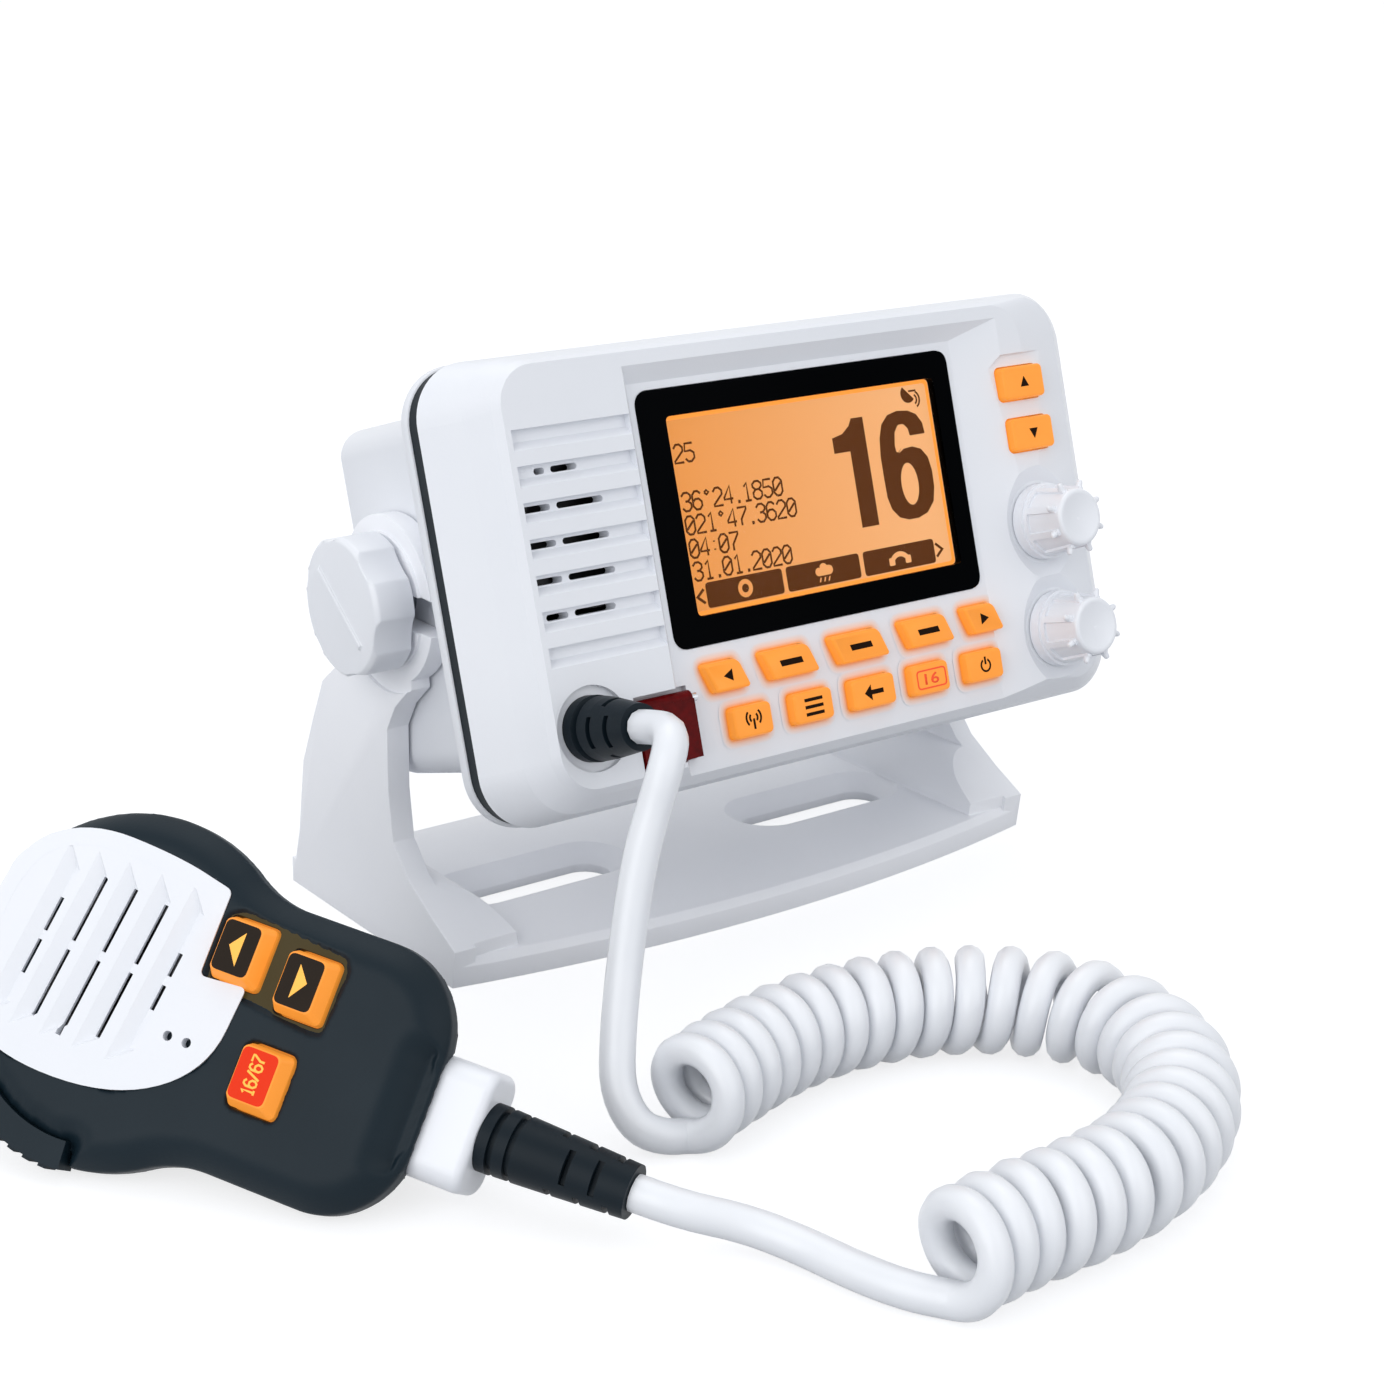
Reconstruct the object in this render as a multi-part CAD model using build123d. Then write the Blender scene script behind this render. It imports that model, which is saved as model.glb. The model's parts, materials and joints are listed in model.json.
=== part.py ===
from build123d import *
import os
from math import cos, sin, tan, radians

# VHF marine radio on its tilting U-bracket, with a coiled cord and a hand microphone.
# Millimetres. Row frame: origin in the middle of the bracket's base, X to the user's
# right, the front faces -Y, +Z up. The radio is drawn in its face frame (X right along
# the face, Y up the face, Z out of the face, origin on the tilt axis) and the
# microphone in its own (X across, Y from the cord end to the top, Z out of the front).

os.makedirs("parts", exist_ok=True)

# ---- fits and clearances ----
RUNNING_FIT = 0.06          # radial gap of a shaft in its bore
KEY_CLEARANCE = 0.35        # round each key in its hole
SEAT_GAP = 0.3              # a moving piece from what stops it
SHELL_CLEARANCE = 0.2       # loose parts inside a housing
CUT_PAST = 1.0              # how far a cutter reaches past the face it opens

# ---- bracket ----
BASE_HALF_X = 81.0
BASE_FRONT_Y = -30.5
BASE_BOW = 5.8              # how far the front edge bows out past its corners
BASE_BOW_HALF_X = 45.0
BASE_REAR_Y = 38.5
BASE_THICKNESS = 6.0
BASE_BEVEL = 1.6            # along the bowed front edge
REAR_STEP_WIDTH = 7.0
REAR_STEP_DEPTH = 1.2
SLOT_CENTRE_X = 41.0
SLOT_SPAN = 29.0            # between the centres of a slot's round ends
SLOT_RADIUS = 6.0
SLOT_TOP_RADIUS = 10.0
SLOT_WALL = 2.0             # straight wall under the countersink
ARM_THICKNESS = 5.3
ARM_FOOT_RADIUS = 11.0
ARM_HEAD_RADIUS = 17.7
ARM_HEAD_RING = 14.2
ARM_RING_DEPTH = 0.8
ARM_SLOT_HEIGHT = 7.5       # slot open to the front, so the radio lifts out with its studs
ARM_REAR = ((21.8, 53.1), (26.9, 42.4), (31.7, 31.5), (34.6, 13.8))
ARM_FRONT = ((-31.5, 8.5), (-22.5, 13.0), (-13.0, 18.6), (-7.2, 25.0))
ARM_NECK = ((-5.6, 36.0), (-5.6, 50.0), (-9.0, 55.8), (-14.6, 61.0))
PIVOT_Y = -5.3
PIVOT_Z = 78.2
TILT = 17.8                 # the radio leans back this far at rest

# ---- radio case, in the face frame ----
CASE_WIDTH = 172.0
CASE_HEIGHT = 92.5
CASE_MIDDLE_Y = -2.45
CASE_CORNER = 12.0
FACE_Z = 45.8
CASE_BACK_Z = 34.4          # where the front case meets the gasket
CASE_LEVELS = (             # z, then how far each side stands in: left, right, bottom, top; corner
    (34.4, 0.0, 0.0, 0.0, 0.0, 12.0),
    (40.8, 6.8, 6.8, 1.6, 0.8, 11.0),
    (44.2, 11.0, 10.6, 4.4, 1.8, 9.0),
    (45.8, 12.4, 22.5, 6.0, 2.8, 8.0),
)
GASKET_THICKNESS = 4.0
GASKET_INSET = 0.6
FLANGE_THICKNESS = 4.0
HOUSING_ARM_GAP = 0.7       # housing side to the arm's inner face
HOUSING_HALF_WIDTH = BASE_HALF_X - ARM_THICKNESS - HOUSING_ARM_GAP
HOUSING_TOP = 36.0
HOUSING_BOTTOM = -38.6
HOUSING_BACK_Z = -22.0
HOUSING_WALL = 3.0
HOUSING_CORNER = 6.0
HOUSING_BACK_ROUND = 4.5
FLANGE_BEVEL = 1.6
STUD_INSERT_WALL = 3.0
POST_RADIUS = 3.0
POST_PLACES = ((-62.0, -28.0), (-62.0, 24.0), (62.0, -28.0), (62.0, 24.0))
PIVOT_BOSS_RADIUS = 13.0
ARM_GAP = 0.3               # pivot boss to the arm's inner face
CAVITY_CORNER = 5.0
FRONT_CAVITY_HALF_WIDTH = CASE_WIDTH / 2 - 13.0
FRONT_CAVITY_TOP = 33.5
FRONT_CAVITY_BOTTOM = -42.5
FACE_WALL = 3.0             # wall under the display basin
BASIN_DEPTH = 2.4
BASIN_FLOOR = ((-42.4, -60), (-42.4, 34.6), (44.2, 34.6), (44.2, -60))
BASIN_EDGE = ((-44.4, -60), (-44.4, 38.2), (57.0, 38.2), (57.0, -60))

# ---- display ----
WINDOW_WIDTH = 83.7
WINDOW_HEIGHT = 52.5
WINDOW_X = 0.85
WINDOW_Y = 6.6
WINDOW_CORNER = 3.2
WINDOW_THICKNESS = 2.0
WINDOW_LEDGE = 2.4
LCD_WIDTH = 76.0
LCD_HEIGHT = 45.0
BOARD_LEFT = -38.6
BOARD_RIGHT = 69.5
BOARD_TAB_LEFT = -55.0      # the board reaches under the distress button
BOARD_TAB_TOP = -27.0
BOARD_MARGIN = 1.8
BOARD_THICKNESS = 1.6
MAIN_BOARD_Z = 8.0
MAIN_BOARD_HALF_WIDTH = 70.0
MAIN_BOARD_LOW = -34.0
MAIN_BOARD_TOP = 30.0

# ---- keys ----
KEY_PROUD = 2.5
KEY_TRAVEL = 1.2
KEY_FLANGE = 0.7
KEY_FLANGE_THICKNESS = 1.4
KEY_CORNER = 1.1
KEY_SWEPT_CORNER = 2.2      # the upper row's top right corner
KEY_ROUND = 0.7
KEY_LEAN = 1.25             # how far the upper row's ends lean off the upright, each way
ROW_ONE_Y = -26.45
ROW_ONE_HEIGHT = 6.2
ROW_TWO_Y = -36.6
ROW_TWO_HEIGHT = 6.5
CHANNEL_KEY_WIDTH = 12.2
CHANNEL_KEY_HEIGHT = 7.2
LEDGE_DEPTH = 0.8           # the channel keys' ledge, deepest along its top
LEDGE_OUTLINE = ((53.2, 5.0), (53.2, 27.2), (56.8, 29.9), (72.0, 29.9), (72.0, 5.0))
ROW_ONE_KEYS = {            # middle, width
    "key_left": (-30.9, 8.9),
    "key_soft_1": (-14.4, 12.4),
    "key_soft_2": (4.6, 13.2),
    "key_soft_3": (23.7, 12.4),
    "key_right": (40.1, 8.9),
}
ROW_TWO_KEYS = {
    "key_high_low": (-26.4, 9.9),
    "key_menu": (-10.4, 10.4),
    "key_clear": (6.2, 11.8),
    "key_sixteen": (22.4, 10.4),
    "key_power": (38.3, 10.4),
}
CHANNEL_KEYS = {"key_up": (61.2, 23.3), "key_down": (61.8, 11.8)}   # middle across, up

# ---- knobs ----
KNOB_X = 62.4
KNOB_PLACES = {"squelch": -8.1, "volume": -32.4}
KNOB_SKIRT_RADIUS = 8.5
KNOB_SKIRT_HEIGHT = 2.6
KNOB_CROWN_RADIUS = 6.3
KNOB_BASE_RADIUS = 7.3
KNOB_RIB_OUT = 0.65         # how far ribs and foot ring stand out of the cone
KNOB_FOOT_RING = 1.1
KNOB_LENGTH = 12.6
KNOB_RIBS = 8
KNOB_RIB_WIDTH = 1.5
KNOB_PIP_LENGTH = 1.2
KNOB_PIP_RADIUS = 0.75
KNOB_TOP_ROUND = 0.8
KNOB_CUP_RADIUS = 20.0      # the dished end of a knob
KNOB_CUP_DEPTH = 0.7
KNOB_DISH_RADIUS = 12.6
KNOB_DISH_DEPTH = 1.4
SHAFT_RADIUS = 3.0
SHAFT_END_Z = FACE_Z + 8.0
BUSH_RADIUS = 3.6
BUSH_END_Z = FACE_Z + 0.6
ENCODER_SIZE = 12.0

# ---- speaker louvres ----
LOUVRE_COUNT = 7
LOUVRE_PITCH = 7.1
LOUVRE_TOP = 28.8
LOUVRE_HEIGHT = 4.1
LOUVRE_LEFT = -72.3
LOUVRE_RIGHT = -44.4
LOUVRE_DEPTH = 1.9
LOUVRE_FLAT = 2.4           # the louvre's floor, before it runs out to the face
SOUND_SLOT_HEIGHT = 1.3
SOUND_SLOT_DROP = 1.4       # slot's middle below the louvre's top
SOUND_SLOT_SPANS = (        # louvre, left end, right end
    (1, -67.6, -65.1), (1, -63.7, -57.5), (5, -70.4, -65.2), (5, -63.7, -53.9),
    (2, -71.6, -65.2), (2, -63.7, -52.7), (3, -71.8, -65.2), (3, -63.7, -52.6),
    (4, -71.6, -65.2), (4, -63.7, -52.6),
)
SPEAKER_X = -55.6
SPEAKER_Y = 8.0
SPEAKER_RADIUS = 16.0
SPEAKER_DEPTH = 11.0
SPEAKER_RIM = 2.5
MAGNET_RADIUS = 9.0
MAGNET_DEPTH = 3.0

# ---- microphone lead gland and distress button ----
GLAND_X = -65.0
GLAND_Y = -30.9
GLAND_RADIUS = 6.6
GLAND_END_RADIUS = 4.6
GLAND_END_Z = 62.0
GLAND_DISH_RADIUS = 8.6
GLAND_DISH_DEPTH = 1.4
GLAND_NECK = GLAND_RADIUS - 1.1
GLAND_FLANGE = 2.5
GLAND_NUT_BORE = 3.6
BOOT_SLOT_FLOOR = 3.6       # the boots' open slots stop this far from the lead's axis
GLAND_SLOTS = ((8.2, 0), (8.2, 180), (10.6, 90), (10.6, 270), (13.0, 0), (13.0, 180))
DISTRESS_X = -47.5
DISTRESS_Y = -34.2
DISTRESS_WIDTH = 13.9
DISTRESS_HEIGHT = 14.2
DISTRESS_PIN_RADIUS = 0.9
COVER_WALL = 1.2
COVER_PROUD = 0.5
COVER_SKIRT = 2.8
COVER_LENGTH = 11.9         # from the pin to the lid's lower edge
PIN_INSET = 2.6             # leaves room above the pin for the open lid
COVER_KNUCKLE = 1.7
COVER_SIDE_WALL = 1.0
COVER_GAP = 0.4
RECESS_DEPTH = 3.9
BUTTON_SIZE = 8.4
BUTTON_DROP = 1.4           # the button sits a little under the recess's middle
BUTTON_SINK = 2.6

# ---- back of the radio ----
HEATSINK_HALF_WIDTH = 46.0
HEATSINK_TOP = 29.0
HEATSINK_BOTTOM = -31.0
HEATSINK_BASE = 3.0
FIN_COUNT = 11
FIN_THICKNESS = 2.0
FIN_DEPTH = 11.0
SOCKET_X = 60.0
ANTENNA_Y = 14.0
ANTENNA_RADIUS = 7.9
ANTENNA_BORE = 4.6
ANTENNA_LENGTH = 14.0
ANTENNA_FLANGE = 24.0
ANTENNA_CONTACT_RADIUS = 1.6
THREAD_RINGS = 7
THREAD_PITCH = 1.5
THREAD_DEPTH = 0.5
POWER_Y = -18.0
POWER_FLANGE_RADIUS = 8.0
POWER_RADIUS = 6.0
POWER_BORE = 3.2
POWER_LENGTH = 8.0
ACCESSORY_Y = -16.0
ACCESSORY_FLANGE_RADIUS = 9.5
ACCESSORY_RADIUS = 7.5
ACCESSORY_BORE = 6.0
ACCESSORY_LENGTH = 9.0
ACCESSORY_PINS = 5
ACCESSORY_PIN_RADIUS = 0.6
ACCESSORY_PIN_CIRCLE = 3.4
SOCKET_FLOOR = 3.0          # closed end of the sockets' bores
SCREW_RADIUS = 1.5
SCREW_HEAD_RADIUS = 3.0
SCREW_HEAD_HEIGHT = 1.8
SCREW_CROSS_HALF = 1.8
SCREW_CROSS_WIDTH = 0.8
SCREW_CROSS_DEPTH = 0.9
SCREW_GRIP = 3.6            # length of thread in the front case
SCREW_X = CASE_WIDTH / 2 - 7.0
SCREW_ROWS = (27.0, -2.45, -32.0)

# ---- clamp knobs ----
CLAMP_RADIUS = 14.8
CLAMP_THICKNESS = 9.0
CLAMP_HUB_RADIUS = 9.5
CLAMP_HUB_HEIGHT = 0.9
CLAMP_LOBES = 6
CLAMP_SCALLOP_RADIUS = 14.0
CLAMP_SCALLOP_DEPTH = 1.04
CLAMP_BEVEL = 0.9
CLAMP_RIDGE_HALF = 10.5
CLAMP_RIDGE_WIDTH = 1.4
CLAMP_RIDGE_PROUD = 0.6
CLAMP_RIDGE_TURN = 35
STUD_RADIUS = 3.4
STUD_REACH = 12.0           # how far the stud enters the housing
STUD_SINK = 2.5             # the stud stops this far under the knob's face

# ---- cord ----
CORD_DIAMETER = 6.8
COIL_DIAMETER = 22.0
FLOOR_GAP = 0.1
RUN_SHARE = 0.45            # share of a straight run that its bend may use up
DROP_EXIT_RUN = 11.75       # the lead leaves its boots straight
TAIL_EXIT_RUN = 8.5

# ---- microphone pose: it lies on its long side, the front tipped up ----
MIC_X = -134.06
MIC_Y = -105.91
MIC_Z = 22.75
MIC_HEADING = 125.7         # cord end to top, over the floor, from +X
MIC_LEAN = 32.0             # how far the front looks up
MIC_RISE = 10.1             # how far the top is raised

# ---- microphone ----
MIC_END_HALF_WIDTH = 24.4
MIC_END_CORNER = 16.0
MIC_HEAD_RADIUS = 32.5
MIC_HEAD_Y = 63.0
MIC_NECK_Y = 52.0
MIC_WAIST_RADIUS = 22.0
MIC_FRONT_DEPTH = 8.0
MIC_RIM = 4.0               # straight part of the front shell's side
MIC_FRONT_DRAFT = 38.0
MIC_BACK_DEPTH = 20.0
MIC_WALL = 2.4
MIC_FACE_ROUND = 1.6
MIC_BACK_ROUND = 2.2
MIC_BOARD_Z = -16.0
MIC_BOARD_MARGIN = 11.4
MIC_POST_RADIUS = 2.5
MIC_POST_PLACES = ((-12.0, 62.0), (12.0, 62.0), (0.0, 26.0))
MIC_FACE_OFFSET = 4.0       # the panel and keys sit off the middle, away from the talk bar
PANEL_THICKNESS = 1.6
PANEL_PROUD = 0.2
PANEL_CORNER = 8.0
PANEL_NOTCH_CORNER = 1.4
PANEL_SLOT_WIDTH = 1.1
PANEL_LEAN = -7.0           # the slots run down to the right
PANEL_SLOT_ROWS = (         # y, length of the left slot, of the right slot
    (53.4, 4.8, 4.5), (60.4, 12.7, 11.7), (67.3, 14.7, 12.5), (73.8, 13.1, 12.7), (79.9, 6.7, 6.6),
)
PANEL_SLOT_GAP = 0.9        # each slot's end to the panel's middle line
PANEL_MIDDLE_X = 4.4
GROOVE_HALF = 17.4          # half the grooves' length at the panel's face
GROOVE_END = 4.0            # sloped ends
GROOVE_DEPTH = 1.1
GROOVE_ABOVE = 3.4          # from the slot's middle up to the groove's sharp edge
GROOVE_BELOW = 0.9
GROOVE_ROUND = 0.3
PANEL_SHIELD = (
    (7.2, 38.8), (-7.6, 40.4), (-17.0, 55.0), (-17.6, 79.0), (-10.0, 91.0),
    (17.0, 91.0), (25.8, 79.0), (25.0, 60.0), (22.4, 48.2), (7.0, 48.2),
)
MIC_HOLES = ((-4.4, 48.9), (-4.4, 45.0))
MIC_HOLE_RADIUS = 0.9
MIC_SPEAKER_Y = 66.0
MIC_SPEAKER_RADIUS = 14.5
MIC_MAGNET_RADIUS = 8.0
MIC_ELEMENT_RADIUS = 3.0
MIC_KEY_ACROSS = 11.4
MIC_KEY_ALONG = 9.4
MIC_KEY_SLOPE = 0.9         # how much the top stands in from the foot all round
MIC_KEY_SLOPE_X = 0.45      # and how far it is pushed over
MIC_KEY_SLOPE_Y = 0.7
MIC_KEY_PROUD_PRESSED = 1.2
MIC_KEY_TRAVEL = 1.0
MIC_KEY_FLANGE = 0.8
MIC_KEY_ROUND = 0.8
MIC_KEYS = {
    "mic_key_left": (13.6, 40.9),
    "mic_key_right": (11.8, 27.3),
    "mic_key_red": (-6.0, 29.1),
}
KEY_CHANNEL_DEPTH = 0.8     # the hollow that the two arrow keys stand in
KEY_CHANNEL = (
    (6.6, 46.8), (19.2, 46.8), (21.2, 44.0), (19.4, 22.0), (16.6, 20.8), (4.8, 21.6), (4.4, 24.0),
)
TALK_BAR_RADIUS = 33.7
TALK_BAR_FROM = -5.0        # degrees round the head's middle, from -X towards the top
TALK_BAR_TO = 42.0
TALK_BAR_LOW = -6.2
TALK_BAR_HIGH = -1.2
TALK_BAR_TRAVEL = 1.5
TALK_BAR_INNER = 28.0
TALK_BAR_CLEARANCE = 0.4
TALK_BAR_SIDE_ROOM = 3.2    # degrees left above the bar, which slides in without turning
TALK_BAR_RIBS = 7
TALK_BAR_RIB_STEP = 6       # degrees
TALK_BAR_RIB_DEPTH = 0.6
BLOCK_X = -1.5
BLOCK_WIDTH = 22.0
BLOCK_LENGTH = 12.0
BLOCK_HEIGHT = 14.0
BLOCK_Z = -12.5
BLOCK_CORNER = 4.0
BLOCK_ROUND = 1.8
RELIEF_LENGTH = 28.0
RELIEF_RADIUS = 6.2
RELIEF_END_RADIUS = 4.9
RELIEF_SLOT_FROM = 14.0
RELIEF_SLOT_STEP = 2.7
RELIEF_SLOTS = 5
BOOT_SLOT_WIDTH = 1.2
BOOT_SLOT_HALF = 3.1
HANGER_Y = 60.0
HANGER_NECK_RADIUS = 4.0
HANGER_HEAD_RADIUS = 8.0
HANGER_NECK = 4.5
HANGER_HEAD = 3.0
MIC_SCREW_PLACES = ((-12, 72), (12, 72), (-6, 20), (6, 20))
MIC_SCREW_RADIUS = 2.2

# ---- derived places ----
ARM_INNER_X = BASE_HALF_X - ARM_THICKNESS
GASKET_BACK_Z = CASE_BACK_Z - GASKET_THICKNESS
FLANGE_BACK_Z = GASKET_BACK_Z - FLANGE_THICKNESS
BASIN_Z = FACE_Z - BASIN_DEPTH
INNER_Z = BASIN_Z - FACE_WALL
KEY_FLANGE_Z = INNER_Z - SEAT_GAP
KEY_FOOT_Z = KEY_FLANGE_Z - KEY_FLANGE_THICKNESS
BOARD_FRONT_Z = KEY_FOOT_Z - KEY_TRAVEL - SEAT_GAP
CASE_TOP = CASE_MIDDLE_Y + CASE_HEIGHT / 2
CASE_BOTTOM = CASE_MIDDLE_Y - CASE_HEIGHT / 2
CASE_HALF = CASE_WIDTH / 2
WINDOW_SEAT_Z = BASIN_Z - WINDOW_THICKNESS + SEAT_GAP
SCREW_TIP_Z = CASE_BACK_Z + SCREW_GRIP
GLAND_WALL_Z = FACE_Z - GLAND_DISH_DEPTH
COVER_HALF_WIDTH = DISTRESS_WIDTH / 2
RECESS_HALF_WIDTH = COVER_HALF_WIDTH + COVER_GAP
RECESS_TOP = DISTRESS_Y + DISTRESS_HEIGHT / 2 + COVER_GAP
RECESS_BOTTOM = DISTRESS_Y - DISTRESS_HEIGHT / 2 - COVER_GAP
RECESS_Z = FACE_Z - RECESS_DEPTH
PIN_Y = RECESS_TOP - PIN_INSET
PIN_Z = FACE_Z - 1.6
PIN_HALF_LENGTH = RECESS_HALF_WIDTH + 1.4
BOSS_END_X = ARM_INNER_X - ARM_GAP
CLAMP_LOW = BASE_HALF_X + SEAT_GAP
CLAMP_DISC_LOW = CLAMP_LOW + CLAMP_HUB_HEIGHT
CLAMP_DISC_HIGH = CLAMP_DISC_LOW + CLAMP_THICKNESS
MIC_BACK_Z = -MIC_FRONT_DEPTH - MIC_BACK_DEPTH
MIC_KEY_FLANGE_Z = -PANEL_THICKNESS - MIC_WALL - SEAT_GAP
MIC_KEY_FOOT_Z = MIC_KEY_FLANGE_Z - 1.2
BLOCK_FRONT_Y = 2.5 - BLOCK_LENGTH
COIL_Z = COIL_DIAMETER / 2 + FLOOR_GAP
CORD_Z = CORD_DIAMETER / 2 + FLOOR_GAP
RADIO = Pos(0, PIVOT_Y, PIVOT_Z) * Rot(90 - TILT, 0, 0)

# the coil's axis over the floor; the lead's straight stretches (x, y, z)
COIL_ROUTE = (
    (-79.2, -111.6), (-62.0, -105.4), (-40.0, -102.8), (-18.0, -107.6), (-1.0, -119.5), (6.6, -137.0),
    (1.5, -156.0), (-13.0, -170.5), (-34.0, -179.2), (-55.0, -182.4), (-75.6, -178.5),
)
DROP_ROUTE = (
    (-65.1, -91.2, 69.3), (-65.8, -95.0, 64.0), (-67.6, -95.0, 54.0), (-70.9, -94.8, 44.0),
    (-76.3, -95.4, 34.0), (-83.2, -99.0, 22.5), (-86.4, -106.0, 12.0),
)
TAIL_ROUTE = (
    (-94.4, -146.6, 6.8), (-88.0, -156.0, 4.3), (-84.4, -166.0, CORD_Z),
    (-81.0, -174.0, CORD_Z), (-79.3, -179.6, CORD_Z),
)


def mic_location():
    """The microphone's frame from its heading, lean and rise."""
    heading = radians(MIC_HEADING)
    lean = radians(MIC_LEAN)
    rise = radians(MIC_RISE)
    along_floor = Vector(cos(heading), sin(heading), 0)
    towards_user = Vector(-sin(heading), cos(heading), 0)
    out_of_front = towards_user * cos(lean) + Vector(0, 0, 1) * sin(lean)
    up_the_front = towards_user * -sin(lean) + Vector(0, 0, 1) * cos(lean)
    across = along_floor * -sin(rise) + up_the_front * cos(rise)
    plane = Plane(origin=(MIC_X, MIC_Y, MIC_Z), x_dir=across, z_dir=out_of_front)
    return plane.location


MIC = mic_location()


def save(name, shape):
    shape.label = name
    export_step(shape, f"parts/{name}.step")


def disc(radius, low, high, x=0, y=0):
    """A round bar along Z from low to high."""
    return Pos(x, y, (low + high) / 2) * Cylinder(radius, high - low)


def block(x0, x1, y0, y1, z0, z1):
    return Pos((x0 + x1) / 2, (y0 + y1) / 2, (z0 + z1) / 2) * Box(x1 - x0, y1 - y0, z1 - z0)


def prism(sketch, low, high):
    return extrude(Pos(0, 0, low) * sketch, high - low)


def rounded(width, height, radius, x=0, y=0):
    return Pos(x, y) * RectangleRounded(width, height, radius)


# ---------------------------------------------------------------- bracket
def base_outline():
    corner_left = (-BASE_HALF_X, BASE_FRONT_Y)
    corner_right = (BASE_HALF_X, BASE_FRONT_Y)
    bow_y = BASE_FRONT_Y - BASE_BOW
    front = Spline(
        corner_left,
        (-BASE_BOW_HALF_X, bow_y),
        (BASE_BOW_HALF_X, bow_y),
        corner_right,
    )
    rear_right = (BASE_HALF_X, BASE_REAR_Y)
    rear_left = (-BASE_HALF_X, BASE_REAR_Y)
    rest = Polyline(corner_right, rear_right, rear_left, corner_left)
    return make_face([front, rest])


def slot_cutter(x):
    narrow = Pos(x, 0) * SlotCenterToCenter(SLOT_SPAN, 2 * SLOT_RADIUS)
    wall = prism(narrow, -CUT_PAST, BASE_THICKNESS + CUT_PAST)
    low = Pos(x, 0, SLOT_WALL) * SlotCenterToCenter(SLOT_SPAN, 2 * SLOT_RADIUS)
    high = Pos(x, 0, BASE_THICKNESS) * SlotCenterToCenter(SLOT_SPAN, 2 * SLOT_TOP_RADIUS)
    return wall + loft([low, high])


def arm_profile():
    """Outline of one arm, seen from the side: (Y, Z)."""
    rear = [(PIVOT_Y + 8, PIVOT_Z - 10), *ARM_REAR, (BASE_REAR_Y, 0)]
    front = [(BASE_FRONT_Y, 0), *ARM_FRONT]
    neck = [*ARM_NECK, (PIVOT_Y - 8, PIVOT_Z - 8)]
    body = make_face(Polyline(*rear, *front, *neck, close=True))
    lobe = Pos(PIVOT_Y, PIVOT_Z) * Circle(ARM_HEAD_RADIUS)
    slot = Pos(PIVOT_Y, PIVOT_Z) * Circle(ARM_SLOT_HEIGHT / 2)
    mouth_size = Rectangle(2 * ARM_HEAD_RADIUS, ARM_SLOT_HEIGHT)
    mouth = Pos(PIVOT_Y - ARM_HEAD_RADIUS, PIVOT_Z) * mouth_size
    return body + lobe - slot - mouth


def foot_web(side_plane):
    """Concave web that carries an arm's foot into the plate, no higher than the arm itself."""
    corner = (ARM_INNER_X, BASE_THICKNESS)
    above = (ARM_INNER_X, BASE_THICKNESS + ARM_FOOT_RADIUS)
    inside = (ARM_INNER_X - ARM_FOOT_RADIUS, BASE_THICKNESS)
    hollow = RadiusArc(above, inside, -ARM_FOOT_RADIUS)
    section = make_face([Polyline(inside, corner, above), hollow])
    front_plane = Plane(origin=(0, BASE_REAR_Y, 0), x_dir=(1, 0, 0), z_dir=(0, -1, 0))
    web = extrude(front_plane * section, BASE_REAR_Y - BASE_FRONT_Y)
    return web & extrude(side_plane * arm_profile(), -ARM_FOOT_RADIUS)


def bracket():
    plate = extrude(base_outline(), BASE_THICKNESS)
    front_edge = plate.faces().sort_by(Axis.Z)[-1].edges().sort_by(Axis.Y)[0]
    plate = chamfer(front_edge, BASE_BEVEL)
    side_plane = Plane(origin=(ARM_INNER_X, 0, 0), x_dir=(0, 1, 0), z_dir=(1, 0, 0))
    arm = extrude(side_plane * arm_profile(), ARM_THICKNESS)
    ring_plane = Plane(origin=(BASE_HALF_X, PIVOT_Y, PIVOT_Z), x_dir=(0, 1, 0), z_dir=(1, 0, 0))
    ring = Circle(ARM_HEAD_RADIUS + 2) - Circle(ARM_HEAD_RING)
    arm -= extrude(ring_plane * ring, -ARM_RING_DEPTH)
    arm += foot_web(side_plane)
    body = plate + arm + mirror(arm, Plane.YZ)
    step_half_x = ARM_INNER_X - ARM_FOOT_RADIUS - 4
    step_y = BASE_REAR_Y - REAR_STEP_WIDTH
    step_z = BASE_THICKNESS - REAR_STEP_DEPTH
    body -= block(-step_half_x, step_half_x, step_y, BASE_REAR_Y + CUT_PAST, step_z, BASE_THICKNESS + CUT_PAST)
    for x in (-SLOT_CENTRE_X, SLOT_CENTRE_X):
        body -= slot_cutter(x)
    return body


# ---------------------------------------------------------------- radio case
def case_section(z, left, right, bottom, top, radius):
    sketch = rounded(right - left, top - bottom, radius, (left + right) / 2, (bottom + top) / 2)
    return Pos(0, 0, z) * sketch


def case_shell():
    """The front moulding's outside: four levels from the gasket to the face."""
    levels = []
    for z, left, right, bottom, top, corner in CASE_LEVELS:
        levels.append(case_section(z, left - CASE_HALF, CASE_HALF - right, CASE_BOTTOM + bottom,
                                   CASE_TOP - top, corner))
    return loft(levels, ruled=True)


def display_basin():
    """The sunk panel round the display and keys: steep at the left and top, a long ramp at the right."""
    floor = Pos(0, 0, BASIN_Z) * make_face(Polyline(*BASIN_FLOOR, close=True))
    face = Pos(0, 0, FACE_Z + 0.01) * make_face(Polyline(*BASIN_EDGE, close=True))
    return loft([floor, face], ruled=True)


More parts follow.
